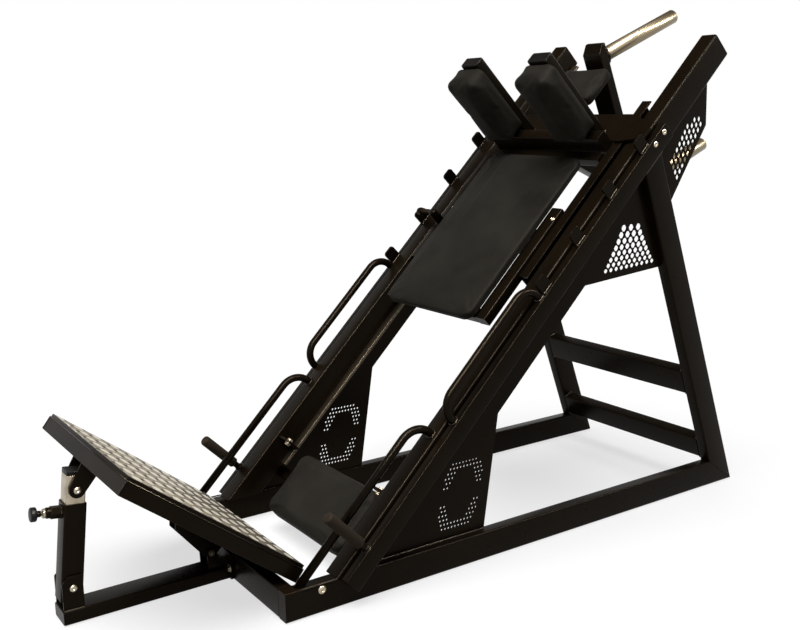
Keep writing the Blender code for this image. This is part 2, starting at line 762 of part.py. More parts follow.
def side_gusset():
    up_rails = (SLIDE.y, SLIDE.z)
    under = side_point(0.0, -BEAM_DEPTH - SEAT)
    floor_line = (0.0, RAIL_HEIGHT + SEAT)
    lean = (-UPRIGHT_LEAN, 1.0)
    front_face = (RAIL_LENGTH - UPRIGHT_DEPTH - SEAT * 1.2, 0.0)
    corner = crossing(front_face, lean, under, up_rails)
    strip_high = (corner[0] - INCLINE_START) * SLIDE.y + corner[1] * SLIDE.z - STRIP_SHORT
    outline = [crossing(under, up_rails, floor_line, (1.0, 0.0)), (GUSSET_FOOT, floor_line[1]),
               side_point(STRIP_LOW, -BEAM_DEPTH - STRIP_DEPTH), side_point(strip_high, -BEAM_DEPTH - STRIP_DEPTH),
               crossing(front_face, lean, (0.0, corner[1] - GUSSET_REAR_DROP), (1.0, 0.0)), corner]
    holes = []
    # Upper pattern: a trapezoid of eight rows, one hole more in each, the rows closing up downwards
    for row in range(HEX_ROWS):
        share = row / (HEX_ROWS - 1)
        left_y = corner[0] + HEX_LEFT_Y - HEX_LEFT_RUN * share
        right_y = corner[0] + HEX_RIGHT_Y + HEX_RIGHT_RUN * share
        left_z = corner[1] - HEX_TOP_DROP - HEX_DROP * (1 - HEX_CLOSING_RATIO ** row) / (1 - HEX_CLOSING_RATIO ** (HEX_ROWS - 1))
        count = HEX_FIRST_COUNT + row
        for k in range(count):
            across = k / (count - 1)
            width = HEX_WIDTH - HEX_WIDTH_LOSS * share
            height = HEX_HEIGHT - HEX_HEIGHT_LOSS * share
            holes.append(hexagon(left_y + (right_y - left_y) * across, left_z + HEX_TILT * share * across,
                                 width, height))
    # Front pattern: a leaning octagonal ring of small holes, open at both sides
    for row in range(-RING_ROWS, RING_ROWS + 1):
        for k in range(-RING_COLUMNS, RING_COLUMNS + 1):
            across = (k + (0.5 if row % 2 else 0.0)) * HOLE_GRID
            up = row * HOLE_ROW
            reach = max(abs(across) / RING_HALF_Y, abs(up) / RING_HALF_Z,
                        (abs(across) / RING_HALF_Y + abs(up) / RING_HALF_Z) / 1.42)
            if reach > 1.0 or reach < RING_INNER_RATIO or abs(up) < RING_BREAK:
                continue
            spot_y = RING_Y + across + up * RING_LEAN_RATIO
            spot_z = RING_Z + up
            holes.append([(spot_y + a, spot_z + b) for a, b in circle(RING_HOLE / 2, 4, pi / 4)])
    return slab(outline, GUSSET_X - PLATE / 2, GUSSET_X + PLATE / 2, bores=holes)


def rear_gusset():
    up_rails = (SLIDE.y, SLIDE.z)
    under = side_point(0.0, -BEAM_DEPTH - SEAT)
    lean = (-UPRIGHT_LEAN, 1.0)
    rear_face = (RAIL_LENGTH + SEAT * 1.2, 0.0)
    corner = crossing(rear_face, lean, under, up_rails)
    outline = [corner, crossing(rear_face, lean, (0.0, corner[1] - FIN_LOW_DROP), (1.0, 0.0)),
               (corner[0] + FIN_REAR_REACH, corner[1] + FIN_REAR_RISE),
               crossing(under, up_rails, (corner[0] + FIN_TOP_REACH, 0.0), (0.0, 1.0))]
    holes = []
    start = Vector((corner[0] + FIN_HOLE_REACH, corner[1] + FIN_HOLE_RISE))
    column = Vector((FIN_COLUMN, FIN_COLUMN * 0.09))
    down_front = Vector((-FIN_COLUMN * 0.55, -FIN_COLUMN * 0.88))
    down_rear = down_front + column
    for row in range(FIN_ROWS):
        if row == 1:
            start = start + down_front - column
        elif 1 < row <= FIN_ROWS - 4:
            start = start + down_front
        elif row:
            start = start + down_rear
        count = min(FIN_COUNT, 2 if row == 0 else FIN_COUNT, FIN_ROWS - row)
        for k in range(count):
            spot = start + column * k
            holes.append(hexagon(spot.x, spot.y, FIN_HOLE, FIN_HOLE))
    return slab(outline, GUSSET_X - PLATE / 2, GUSSET_X + PLATE / 2, bores=holes)


both("side_gusset", side_gusset, "black_powder_coat")
both("rear_gusset", rear_gusset, "black_powder_coat")


# Grab bars, pegs with grips, stop brackets and seat
def upper_grab_bar():
    rail_top = (point(0.0, 1.0, -CATCH_RAIL_TOP + SEAT), SQUARE)
    corners = [point(UPPER_BAR_X, UPPER_BAR_LOW, -CATCH_RAIL_TOP), point(UPPER_BAR_X, UPPER_BAR_LOW, UPPER_BAR_RISE),
               point(UPPER_BAR_X, UPPER_BAR_HIGH, UPPER_BAR_RISE), point(UPPER_BAR_X, UPPER_BAR_HIGH, -CATCH_RAIL_TOP)]
    return bent_bar(rounded_path(corners, UPPER_BAR_BEND, 6), BAR_RADIUS, rail_top, rail_top)


def lower_grab_bar():
    rail_top = (Vector((0.0, 0.0, RAIL_HEIGHT + SEAT)), UP)
    beam_top = (point(0.0, 1.0, SEAT), SQUARE)
    foot_t = (RAIL_HEIGHT - LOWER_BAR_RISE * SQUARE.z) / SLIDE.z
    corners = [point(LOWER_BAR_X, foot_t, LOWER_BAR_RISE), point(LOWER_BAR_X, LOWER_BAR_HIGH, LOWER_BAR_RISE),
               point(LOWER_BAR_X, LOWER_BAR_HIGH, 0.0)]
    return bent_bar(rounded_path(corners, LOWER_BAR_BEND, 6), BAR_RADIUS, rail_top, beam_top)


def handle_grip():
    base = point(PEG_X, PEG_T, PEG_LENGTH - GRIP_LENGTH)
    sides = 14
    bore = PEG_RADIUS / cos(pi / sides) + SEAT
    return turned([(GRIP_LENGTH - GRIP_END, bore), (0.0, bore), (0.0, GRIP_RADIUS * 0.94), (0.004, GRIP_RADIUS),
                   (GRIP_LENGTH - 0.006, GRIP_RADIUS), (GRIP_LENGTH - 0.002, GRIP_RADIUS * 0.93),
                   (GRIP_LENGTH, GRIP_RADIUS * 0.80)], base, SQUARE, sides)


def stop_bracket():
    high_x = BEAM_IN - SEAT
    low_x = high_x - STOP_WIDTH
    low_n = -TRACK_DROP + SEAT
    outline = [(low_x + 0.008, low_n), (high_x, low_n), (high_x, -STOP_HIGH), (low_x + 0.010, -STOP_HIGH),
               (low_x, -STOP_HIGH - 0.010), (low_x, low_n + 0.008)]
    return slab(outline, -STOP_PLATE / 2, STOP_PLATE / 2, point(0.0, STOP_T, 0.0), ACROSS, SQUARE)


both("upper_grab_bar", upper_grab_bar, "black_powder_coat")
both("lower_grab_bar", lower_grab_bar, "black_powder_coat")
both("handle_grip", handle_grip, "black_rubber")
both("stop_bracket", stop_bracket, "black_powder_coat")

SEAT_BASE = -SEAT_TOP - SEAT_THICKNESS
make("seat_pad", cushion(SEAT_HALF_WIDTH, SEAT_LOW, SEAT_HIGH, SEAT_THICKNESS, 0.045, 0.045, 0.006,
                         point(0.0, 0.0, SEAT_BASE), ACROSS, SLIDE), "black_upholstery")
make("seat_board", slab(rectangle(2 * SEAT_HALF_WIDTH - 0.020, SEAT_HIGH - SEAT_LOW - 0.020, 0.040),
                        -SEAT - SEAT_BOARD, -SEAT, point(0.0, (SEAT_LOW + SEAT_HIGH) / 2, SEAT_BASE),
                        ACROSS, SLIDE), "plywood")
make("seat_support", cross_tube(GUSSET_X - PLATE / 2 - SEAT, SEAT_TUBE, SEAT_TUBE,
                                point(0.0, SEAT_TUBE_T, SEAT_BASE - 2 * SEAT - SEAT_BOARD - SEAT_TUBE / 2),
                                (SLIDE, SQUARE)), "black_powder_coat")


# Carriage: everything from here to the sleeves slides along the incline
CARRIAGE_AT = point(0.0, CROSSBEAM_T, 0.0)
CARRIAGE = empty("carriage_slide", CARRIAGE_AT, ORIGIN)
ROLLER_N = -TRACK_DROP + ROLLER_RADIUS + SEAT
ROLLER_TS = (CHANNEL_LOW + ROLLER_INSET, CHANNEL_HIGH - ROLLER_INSET)
ROLLER_OUT = BEAM_IN - ROLLER_SIDE_GAP
CHANNEL_BOTTOM = -TRACK_DROP - TRACK_HEIGHT - RUNNING_GAP


def side_channel():
    low = CHANNEL_BOTTOM - CHANNEL_FLANGE
    top = CHANNEL_TOP
    outer = CHANNEL_X + CHANNEL_WIDTH
    web = CHANNEL_X + CHANNEL_WEB
    outline = [(CHANNEL_X, low), (outer, low), (outer, CHANNEL_BOTTOM), (web, CHANNEL_BOTTOM),
               (web, top - CHANNEL_FLANGE), (outer, top - CHANNEL_FLANGE), (outer, top), (CHANNEL_X, top)]
    channel = extrusion(outline, point(0, 0, 0), ACROSS, SQUARE, (point(0, CHANNEL_LOW, 0), SLIDE),
                        (point(0, CHANNEL_HIGH, 0), SLIDE))
    axles = []
    for place in ROLLER_TS:
        inner = ROLLER_OUT - ROLLER_WIDTH - web
        face = ROLLER_OUT - web
        axles.append(turned([(-0.003, 0.014), (inner - SEAT, 0.014), (inner - SEAT, AXLE_RADIUS),
                             (face + SEAT, AXLE_RADIUS), (face + SEAT, 0.014), (face + 0.003, 0.014)],
                            point(web, place, ROLLER_N), ACROSS, 16))
    return combine(channel, axles)


def ring_piece(profile, start, way, sides):
    """A turned ring: its profile closes on itself instead of ending in flat faces."""
    start = Vector(start)
    way = Vector(way).normalized()
    side = way.orthogonal().normalized()
    up = way.cross(side)
    shape = bmesh.new()
    rings = []
    for along, radius in profile:
        rings.append([shape.verts.new(start + way * along + side * (radius * cos(2 * pi * i / sides))
                                      + up * (radius * sin(2 * pi * i / sides))) for i in range(sides)])
    for first, second in zip(rings, rings[1:] + rings[:1]):
        for i in range(sides):
            shape.faces.new((first[i], first[(i + 1) % sides], second[(i + 1) % sides], second[i]))
    return shape


def roller_shape(place):
    bore = (AXLE_RADIUS + AXLE_CLEARANCE) / cos(pi / 20)
    width = ROLLER_WIDTH
    edge = ROLLER_RADIUS - 0.0015
    return ring_piece([(0.0, bore), (0.0, edge), (0.0015, ROLLER_RADIUS), (width - 0.0015, ROLLER_RADIUS),
                       (width, edge), (width, bore)], point(ROLLER_OUT - width, place, ROLLER_N), ACROSS, 20)


both("side_channel", side_channel, "black_powder_coat", CARRIAGE, CARRIAGE_AT)
for label, place in zip(("lower", "upper"), ROLLER_TS):
    both("roller_" + label, lambda place=place: roller_shape(place), "black_plastic", CARRIAGE,
         point(ROLLER_OUT - ROLLER_WIDTH / 2, place, ROLLER_N))

PAD_TUBE_N = PAD_TUBE_TOP - PAD_TUBE_DEPTH / 2
PAD_TUBE_IN = CHANNEL_X - SEAT - PAD_TUBE_WIDTH


def pad_tube():
    outer, inner = box_tube(PAD_TUBE_WIDTH, PAD_TUBE_DEPTH)
    centre = point(CHANNEL_X - SEAT - PAD_TUBE_WIDTH / 2, 0.0, PAD_TUBE_N)
    return extrusion(outer, centre, ACROSS, SQUARE, (point(0, PAD_TUBE_LOW, 0), SLIDE),
                     (point(0, PAD_TUBE_HIGH, 0), SLIDE), inner, blind_low=TUBE_WALL)


both("pad_tube", pad_tube, "black_powder_coat", CARRIAGE, CARRIAGE_AT)
make("carriage_lower_cross_tube",
     cross_tube(PAD_TUBE_IN - SEAT, PAD_TUBE_DEPTH, PAD_TUBE_DEPTH,
                point(0.0, PAD_TUBE_LOW + PAD_TUBE_DEPTH / 2, PAD_TUBE_N), (SLIDE, SQUARE)),
     "black_powder_coat", CARRIAGE, CARRIAGE_AT)
make("carriage_upper_cross_tube",
     cross_tube(CHANNEL_X - SEAT, PAD_TUBE_DEPTH, PAD_TUBE_DEPTH,
                point(0.0, UPPER_TUBE_T + PAD_TUBE_DEPTH / 2, PAD_TUBE_TOP - PAD_TUBE_DEPTH / 2), (SLIDE, SQUARE)),
     "black_powder_coat", CARRIAGE, CARRIAGE_AT)
make("crossbeam", cross_tube(CHANNEL_X - SEAT, CROSSBEAM_HEIGHT, CROSSBEAM_THICK,
                             point(0.0, CROSSBEAM_T + CROSSBEAM_THICK / 2, CROSSBEAM_TOP - CROSSBEAM_HEIGHT / 2),
                             (SLIDE, SQUARE)), "black_powder_coat", CARRIAGE, CARRIAGE_AT)
half_outline = [(CHANNEL_X + SHOULDER_PLATE_FRONT, PLATE_LOW_T),
                (SHOULDER_PLATE_HALF, PLATE_LOW_T + SHOULDER_PLATE_SWEEP),
                (SHOULDER_PLATE_HALF, PLATE_LOW_T + SHOULDER_PLATE_SIDE),
                (CHANNEL_X + SHOULDER_PLATE_FRONT, SHOULDER_PLATE_END)]
make("shoulder_plate", slab(half_outline + [(-x, t) for x, t in reversed(half_outline)],
                            CHANNEL_TOP + SEAT, SHOULDER_PLATE_TOP, point(0, 0, 0), ACROSS, SLIDE),
     "black_powder_coat", CARRIAGE, CARRIAGE_AT)

SHOULDER_POST_T = PLATE_LOW_T + 0.0058


def shoulder_post():
    outer, inner = box_tube(SHOULDER_POST_WIDTH, CROSSBEAM_THICK)
    centre = point(SHOULDER_POST_X, SHOULDER_POST_T + CROSSBEAM_THICK / 2, 0.0)
    return extrusion(outer, centre, ACROSS, SLIDE, (point(0, 0, SHOULDER_PLATE_TOP + SEAT), SQUARE),
                     (point(0, 0, SHOULDER_POST_TOP), SQUARE), inner, blind_high=TUBE_WALL)


def shoulder_pad():
    return cushion(SHOULDER_PAD_HALF, SHOULDER_PAD_LOW, SHOULDER_PAD_HIGH, SHOULDER_PAD_THICK, 0.026, 0.026, 0.006,
                   point(SHOULDER_PAD_X, SHOULDER_POST_T - SEAT, 0.0), ACROSS, SQUARE, 8, 8, narrow=0.003, edge=0.025)


both("shoulder_post", shoulder_post, "black_powder_coat", CARRIAGE, CARRIAGE_AT)
both("shoulder_pad", shoulder_pad, "black_upholstery", CARRIAGE, CARRIAGE_AT)
make("back_pad", cushion(BACK_PAD_HALF, BACK_PAD_LOW, BACK_PAD_HIGH, BACK_PAD_THICK, 0.045, 0.030, 0.004,
                         point(0.0, 0.0, BACK_PAD_BASE), ACROSS, SLIDE, 16, 18,
                         band=BACK_BAND_HALF, drop=BACK_BAND_DROP, edge=0.014),
     "black_upholstery", CARRIAGE, CARRIAGE_AT)
make("pad_board", slab(rectangle(2 * BACK_PAD_HALF - 0.024, BACK_PAD_HIGH - BACK_PAD_LOW - 0.024, 0.040),
                       PAD_TUBE_TOP + SEAT - BACK_PAD_BASE, -SEAT,
                       point(0.0, (BACK_PAD_LOW + BACK_PAD_HIGH) / 2, BACK_PAD_BASE), ACROSS, SLIDE),
     "plywood", CARRIAGE, CARRIAGE_AT)

# Weight horns: a leaning post behind the shoulder plate, braced to the crossbeam, with two sleeves
HORN_UP = Vector((0.0, -sin(HORN_TILT), cos(HORN_TILT)))
HORN_BACK = Vector((0.0, cos(HORN_TILT), sin(HORN_TILT)))
HORN_AT = point(0.0, CROSSBEAM_T + HORN_PAST, HORN_N)
HORN_FRONT = (HORN_AT - HORN_BACK * (HORN_DEPTH + SEAT), HORN_BACK)


def horn_post():
    low = -HORN_PITCH - HORN_BELOW
    top = HORN_ABOVE
    outline = [(0.0, low), (0.0, top), (-HORN_DEPTH * 0.35, top), (-HORN_DEPTH, top - 0.030), (-HORN_DEPTH, low)]
    post = slab(outline, -HORN_WIDTH / 2, HORN_WIDTH / 2, HORN_AT, HORN_BACK, HORN_UP)
    long_edges = [e for e in post.edges
                  if abs((e.verts[0].co - e.verts[1].co).normalized().dot(HORN_UP)) > 0.99]
    bmesh.ops.bevel(post, geom=long_edges, offset=0.005, segments=2, affect="EDGES", profile=0.5)
    wall = TUBE_WALL
    inner = [(-wall, low - 0.010), (-wall, top - 0.034), (-HORN_DEPTH + wall, top - 0.034),
             (-HORN_DEPTH + wall, low - 0.010)]
    hollow = slab(inner, -HORN_WIDTH / 2 + wall, HORN_WIDTH / 2 - wall, HORN_AT, HORN_BACK, HORN_UP)
    return combine(post, [hollow], "DIFFERENCE")


def brace():
    """Tube from the underside of the crossbeam down to the front of the horn post."""
    start = point(0.0, CROSSBEAM_T + CROSSBEAM_THICK / 2, CROSSBEAM_TOP - CROSSBEAM_HEIGHT)
    end = HORN_FRONT[0] - HORN_UP * (HORN_PITCH - 0.012)
    way = (end - start).normalized()
    outer, inner = box_tube(BRACE_WIDTH, BRACE_DEPTH)
    foot = (start - SQUARE * SEAT, SQUARE)
    return extrusion(outer, start, ACROSS, way.cross(ACROSS), foot, HORN_FRONT, inner)


def spine():
    """Tube along the incline from the shoulder plate to the horn post, under the head pad."""
    depth = HEAD_PAD_BASE - SHOULDER_PLATE_TOP - 2 * SEAT
    outer, inner = box_tube(SPINE_WIDTH, depth, 0.004, 0.0025)
    centre = point(0.0, 0.0, SHOULDER_PLATE_TOP + SEAT + depth / 2)
    return extrusion(outer, centre, ACROSS, SQUARE, (point(0, SHOULDER_POST_T, 0), SLIDE), HORN_FRONT, inner)


def sleeve(drop):
    root = HORN_AT - HORN_UP * drop
    radius = SLEEVE_RADIUS
    return turned([(SEAT, COLLAR_RADIUS), (COLLAR_LENGTH - 0.002, COLLAR_RADIUS),
                   (COLLAR_LENGTH, COLLAR_RADIUS - 0.002), (COLLAR_LENGTH, radius), (SLEEVE_LENGTH - 0.003, radius),
                   (SLEEVE_LENGTH, radius - 0.003)], root, HORN_BACK, 24)


make("horn_post", horn_post(), "black_powder_coat", CARRIAGE, CARRIAGE_AT)
make("horn_brace", brace(), "black_powder_coat", CARRIAGE, CARRIAGE_AT)
make("spine_tube", spine(), "black_powder_coat", CARRIAGE, CARRIAGE_AT)
make("head_pad", cushion(HEAD_PAD_HALF, HEAD_PAD_LOW, HEAD_PAD_HIGH, HEAD_PAD_THICK, 0.025, 0.025, 0.004,
                         point(0.0, 0.0, HEAD_PAD_BASE), ACROSS, SLIDE, 8, 6, edge=0.014),
     "black_upholstery", CARRIAGE, CARRIAGE_AT)
for label, drop in (("upper", 0.0), ("lower", HORN_PITCH)):
    make("weight_sleeve_" + label, sleeve(drop), "chrome", CARRIAGE, CARRIAGE_AT)

# Latch lever on the right channel, turning about a line square to the incline
LATCH_AT = point(-LATCH_X, LATCH_T, CHANNEL_TOP + SEAT)
LATCH = empty("latch_turn", LATCH_AT, CARRIAGE)


def latch_lever():
    height = LATCH_HUB_TOP - CHANNEL_TOP - SEAT
    hub = turned([(0.0, LATCH_HUB_RADIUS), (height - 0.004, LATCH_HUB_RADIUS), (height, LATCH_HUB_RADIUS - 0.004)],
                 LATCH_AT, SQUARE, 16)
    axis = point(-LATCH_X, LATCH_T, LATCH_BAR_N)
    bar = turned([(0.0, LATCH_BAR_RADIUS), (LATCH_REACH - 0.014, LATCH_BAR_RADIUS), (LATCH_REACH, 0.004)],
                 axis, -ACROSS, 14)
    return combine(hub, [bar])


make("latch_lever", latch_lever(), "black_powder_coat", LATCH, LATCH_AT)

# Footplate arm: a tube on the floor with ears for the post's foot pin and for the footplate's hinge
FOOT_PIN = Vector((0.0, FOOT_PIN_Y, FOOT_PIN_Z))
TOP_PIN = Vector((0.0, TOP_PIN_Y, TOP_PIN_Z))
HINGE = Vector((0.0, HINGE_Y, HINGE_Z))
EAR_X = POST_SIZE / 2 + EAR_GAP


def hull_of(spots, middle, radius, turn=0.0, sides=12):
    """Convex outline round some points and one circle, as (y, z) pairs."""
    cloud = list(spots) + [(middle[0] + a, middle[1] + b) for a, b in circle(radius, sides, turn)]
    centre = (sum(p[0] for p in cloud) / len(cloud), sum(p[1] for p in cloud) / len(cloud))
    cloud.sort()

    def chain(points):
        line = []
        for p in points:
            while len(line) > 1 and ((line[-1][0] - line[-2][0]) * (p[1] - line[-2][1])
                                     - (line[-1][1] - line[-2][1]) * (p[0] - line[-2][0])) <= 1e-12:
                line.pop()
            line.append(p)
        return line

    return chain(cloud)[:-1] + chain(cloud[::-1])[:-1]


def pair_of_plates(outline, inner_x, thickness, bores=()):
    return [slab(outline, inner_x, inner_x + thickness, bores=bores),
            slab(outline, -inner_x - thickness, -inner_x, bores=bores)]


def pin_across(middle, half, radius=PIN_RADIUS, sides=12):
    return cylinder(radius, middle - ACROSS * half, middle + ACROSS * half, sides)


def footplate_arm():
    outer, inner = box_tube(ARM_WIDTH, ARM_HEIGHT)
    front = (Vector((0, -ARM_REACH, 0)), Vector((0, 1, 0)))
    rear = (Vector((0, -SEAT, 0)), Vector((0, 1, 0)))
    arm = extrusion(outer, (0.0, 0.0, ARM_HEIGHT / 2), ACROSS, UP, front, rear, inner, blind_low=TUBE_WALL)
    inside = ARM_HEIGHT - 0.002
    front_y = FOOT_PIN_Y - FOOT_EAR_FRONT
    back_y = FOOT_PIN_Y + FOOT_EAR_BACK
    top = FOOT_PIN_Z + FOOT_EAR_ABOVE
    foot = [(front_y, inside), (back_y, inside), (back_y, top), (front_y + FOOT_EAR_CHAMFER, top),
            (front_y, top - FOOT_EAR_CHAMFER)]
    clevis = hull_of([(HINGE_Y - 0.030, inside), (HINGE_Y + 0.030, inside)], (HINGE_Y, HINGE_Z), 0.018)
    flange = slab(rectangle(ARM_WIDTH + 0.030, RAIL_HEIGHT - 0.004), -FLANGE_THICK, -SEAT,
                  (0.0, 0.0, RAIL_HEIGHT / 2), (-1, 0, 0), UP,
                  [[(x, z + ARM_HEIGHT / 2 - RAIL_HEIGHT / 2) for x, z in inner[0]]])
    shapes = pair_of_plates(foot, EAR_X, EAR_THICK) + pair_of_plates(clevis, LUG_X + EAR_THICK + EAR_GAP, EAR_THICK)
    shapes += [flange, pin_across(FOOT_PIN, EAR_X + EAR_THICK + 0.004),
               pin_across(HINGE, LUG_X + 2 * EAR_THICK + EAR_GAP + 0.004)]
    return combine(arm, shapes)


make("footplate_arm", footplate_arm(), "black_powder_coat")

# Footplate: an open tray with a bright tread plate on top
TILT = empty("footplate_tilt", HINGE, ORIGIN)
TREAD_DOWN = Vector((0.0, cos(TREAD_SLOPE), -sin(TREAD_SLOPE)))
TREAD_OUT = Vector((0.0, sin(TREAD_SLOPE), cos(TREAD_SLOPE)))
TREAD_EDGE = Vector((0.0, TREAD_FRONT_Y, TREAD_FRONT_Z))


def on_tread(along, out):
    spot = TREAD_EDGE + TREAD_DOWN * along + TREAD_OUT * out
    return spot.y, spot.z


def tray():
    top = -TREAD_THICK - SEAT
    middle = TREAD_EDGE + TREAD_DOWN * (TREAD_LENGTH / 2)
    body = slab(rectangle(2 * TREAD_HALF, TREAD_LENGTH, 0.004, 1), -TRAY_SKIRT, top, middle, ACROSS, TREAD_DOWN)
    room = slab(rectangle(2 * (TREAD_HALF - TRAY_WALL), TREAD_LENGTH - 2 * TRAY_WALL), -TRAY_SKIRT - 0.010,
                top - TRAY_WALL, middle, ACROSS, TREAD_DOWN)
    shell = combine(body, [room], "DIFFERENCE")
    sunk = top - TRAY_WALL / 2
    ear = hull_of([on_tread(TRAY_WALL / 2, sunk), on_tread(TRAY_WALL / 2, -TRAY_SKIRT + 0.008), on_tread(EAR_SPREAD, sunk)],
                  (TOP_PIN_Y, TOP_PIN_Z), 0.022)
    lug = hull_of([on_tread(LUG_LOW, sunk), on_tread(LUG_HIGH, sunk)], (HINGE_Y, HINGE_Z), 0.020)
    bore = [(HINGE_Y + a, HINGE_Z + b) for a, b in circle((PIN_RADIUS + PIN_CLEARANCE) / cos(pi / 12), 12)]
    shapes = pair_of_plates(ear, EAR_X, EAR_THICK) + pair_of_plates(lug, LUG_X, EAR_THICK, [bore])
    shapes += [pin_across(TOP_PIN, EAR_X + EAR_THICK + 0.004)]
    return combine(shell, shapes)


make("footplate_tray", tray(), "black_powder_coat", TILT, HINGE)
make("tread_plate", slab(rectangle(2 * TREAD_HALF, TREAD_LENGTH, 0.004, 1), -TREAD_THICK, 0.0,
                         TREAD_EDGE + TREAD_DOWN * (TREAD_LENGTH / 2), ACROSS, TREAD_DOWN), "bright_tread",
     TILT, HINGE)

# Adjusting post: outer tube on the foot pin, inner tube sliding in it and hung on the top pin
SWING = empty("post_swing", FOOT_PIN, ORIGIN)
EXTEND = empty("post_extension", FOOT_PIN, SWING)
POST_UP = (TOP_PIN - FOOT_PIN).normalized()
POST_FRONT = Vector((0.0, -POST_UP.z, POST_UP.y))


def on_post(s, front=0.0):
    return FOOT_PIN + POST_UP * s + POST_FRONT * front


def post_outer():
    outer = rectangle(POST_SIZE, POST_SIZE, 0.006)
    inner = rectangle(POST_SIZE - 2 * POST_WALL, POST_SIZE - 2 * POST_WALL)
    tube = extrusion(outer, FOOT_PIN, ACROSS, POST_FRONT, (on_post(-POST_BELOW), POST_UP),
                     (on_post(POST_ABOVE), POST_UP), [inner])
    sides = 12
    pin_hole = pin_across(FOOT_PIN, POST_SIZE, (PIN_RADIUS + PIN_CLEARANCE) / cos(pi / sides))
    root = POST_SIZE / 2
    sleeve_body = cylinder(PULL_SLEEVE_RADIUS, on_post(PULL_ABOVE, root - POST_WALL / 2),
                           on_post(PULL_ABOVE, root + PULL_SLEEVE_LENGTH), 16)
    bore = cylinder((PULL_PIN_RADIUS + PIN_CLEARANCE) / cos(pi / sides), on_post(PULL_ABOVE, root - 2 * POST_WALL),
                    on_post(PULL_ABOVE, root + PULL_SLEEVE_LENGTH + 0.010), 12)
    return combine(combine(tube, [sleeve_body]), [pin_hole, bore], "DIFFERENCE")


def post_inner():
    size = POST_SIZE - 2 * POST_WALL - 2 * SLIDE_CLEARANCE
    outer = rectangle(size, size, 0.002, 1)
    inner = rectangle(size - 2 * INNER_WALL, size - 2 * INNER_WALL)
    reach = (TOP_PIN - FOOT_PIN).length
    tube = extrusion(outer, FOOT_PIN, ACROSS, POST_FRONT, (on_post(reach - INNER_BELOW), POST_UP),
                     (on_post(reach + INNER_ABOVE), POST_UP), [inner])
    hole = pin_across(TOP_PIN, POST_SIZE, (PIN_RADIUS + TOP_PIN_SLACK) / cos(pi / 12))
    return combine(tube, [hole], "DIFFERENCE")


def pull_pin():
    face = POST_SIZE / 2 + PULL_SLEEVE_LENGTH + SEAT
    start = POST_SIZE / 2 - POST_WALL + SEAT
    base = on_post(PULL_ABOVE, start)
    face -= start
    radius = PULL_PIN_RADIUS
    return turned([(0.0, radius - 0.001), (0.001, radius), (face, radius), (face, 0.0135), (face + 0.007, 0.0135),
                   (face + 0.009, 0.008), (face + 0.024, 0.008), (face + 0.027, KNOB_RADIUS - 0.002),
                   (face + 0.030, KNOB_RADIUS), (face + 0.027 + KNOB_LENGTH, KNOB_RADIUS),
                   (face + 0.031 + KNOB_LENGTH, KNOB_RADIUS - 0.004)], base, POST_FRONT, 14)


make("post_outer", post_outer(), "black_powder_coat", SWING, FOOT_PIN)
make("post_inner", post_inner(), "zinc_steel", EXTEND, FOOT_PIN)
make("pull_pin", pull_pin(), "black_plastic", SWING, on_post(PULL_ABOVE, POST_SIZE / 2))

triangles = 0
for item in bpy.data.objects:
    if item.type == "MESH":
        count = sum(len(face.vertices) - 2 for face in item.data.polygons)
        triangles += count
        print(item.name, count)
print("pieces", sum(1 for item in bpy.data.objects if item.type == "MESH"), "triangles", triangles)
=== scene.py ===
# Looks of the leg press hack squat machine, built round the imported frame.
import bmesh
import bpy
import numpy as np
from math import cos, pi, radians, sin, sqrt
from mathutils import Matrix


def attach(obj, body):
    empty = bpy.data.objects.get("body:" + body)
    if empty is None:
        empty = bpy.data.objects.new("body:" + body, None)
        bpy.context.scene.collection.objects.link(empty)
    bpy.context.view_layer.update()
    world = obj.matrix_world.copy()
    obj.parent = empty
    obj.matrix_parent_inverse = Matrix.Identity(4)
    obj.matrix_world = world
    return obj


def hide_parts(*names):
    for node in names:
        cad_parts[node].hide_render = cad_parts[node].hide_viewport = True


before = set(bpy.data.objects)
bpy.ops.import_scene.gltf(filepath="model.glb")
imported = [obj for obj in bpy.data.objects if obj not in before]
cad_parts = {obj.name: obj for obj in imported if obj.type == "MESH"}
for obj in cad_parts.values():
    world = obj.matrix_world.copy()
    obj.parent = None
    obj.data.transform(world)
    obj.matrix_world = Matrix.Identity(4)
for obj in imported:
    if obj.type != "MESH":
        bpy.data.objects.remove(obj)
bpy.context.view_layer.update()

# The incline and the widths that most pieces share, in metres from the frame's origin
slope = {"angle": radians(44.95), "start": 0.0501}
along = np.array([0.0, cos(slope["angle"]), sin(slope["angle"])])
square = np.array([0.0, -sin(slope["angle"]), cos(slope["angle"])])
across, rearward, upward = np.eye(3)
railOut, railIn = 0.380, 0.338
beamOut, beamIn, beamDepth = 0.383, 0.319, 0.0905
crossbeamT = 1.700
upright = {"lean": 0.3647, "depth": 0.0945, "foot": 1.826}
gap = 0.0003  # between pieces that touch
sides = (("left", 1.0), ("right", -1.0))


# A place given across, up the incline and square to it
def spot(x, t, n):
    return np.array([x, slope["start"], 0.0]) + along * t + square * n


# The two end planes of a stretch of the incline
def stretch(low, high):
    return (spot(0, low, 0), along), (spot(0, high, 0), along)


def unit(v):
    v = np.asarray(v, float)
    return v / np.linalg.norm(v)


# Meshes from whole arrays
def newPiece(name, points, faces, smooth=True):
    mesh = bpy.data.meshes.new(name)
    mesh.from_pydata(np.asarray(points, float).tolist(), [], [list(map(int, f)) for f in faces])
    mesh.validate()
    piece = bpy.data.objects.new(name, mesh)
    bpy.context.scene.collection.objects.link(piece)
    if smooth:
        mesh.shade_smooth()
    return piece


def pointsOf(mesh):
    flat = np.zeros(len(mesh.vertices) * 3)
    mesh.vertices.foreach_get("co", flat)
    return flat.reshape(-1, 3)


def setPoints(mesh, points):
    mesh.vertices.foreach_set("co", points.ravel())
    mesh.update()


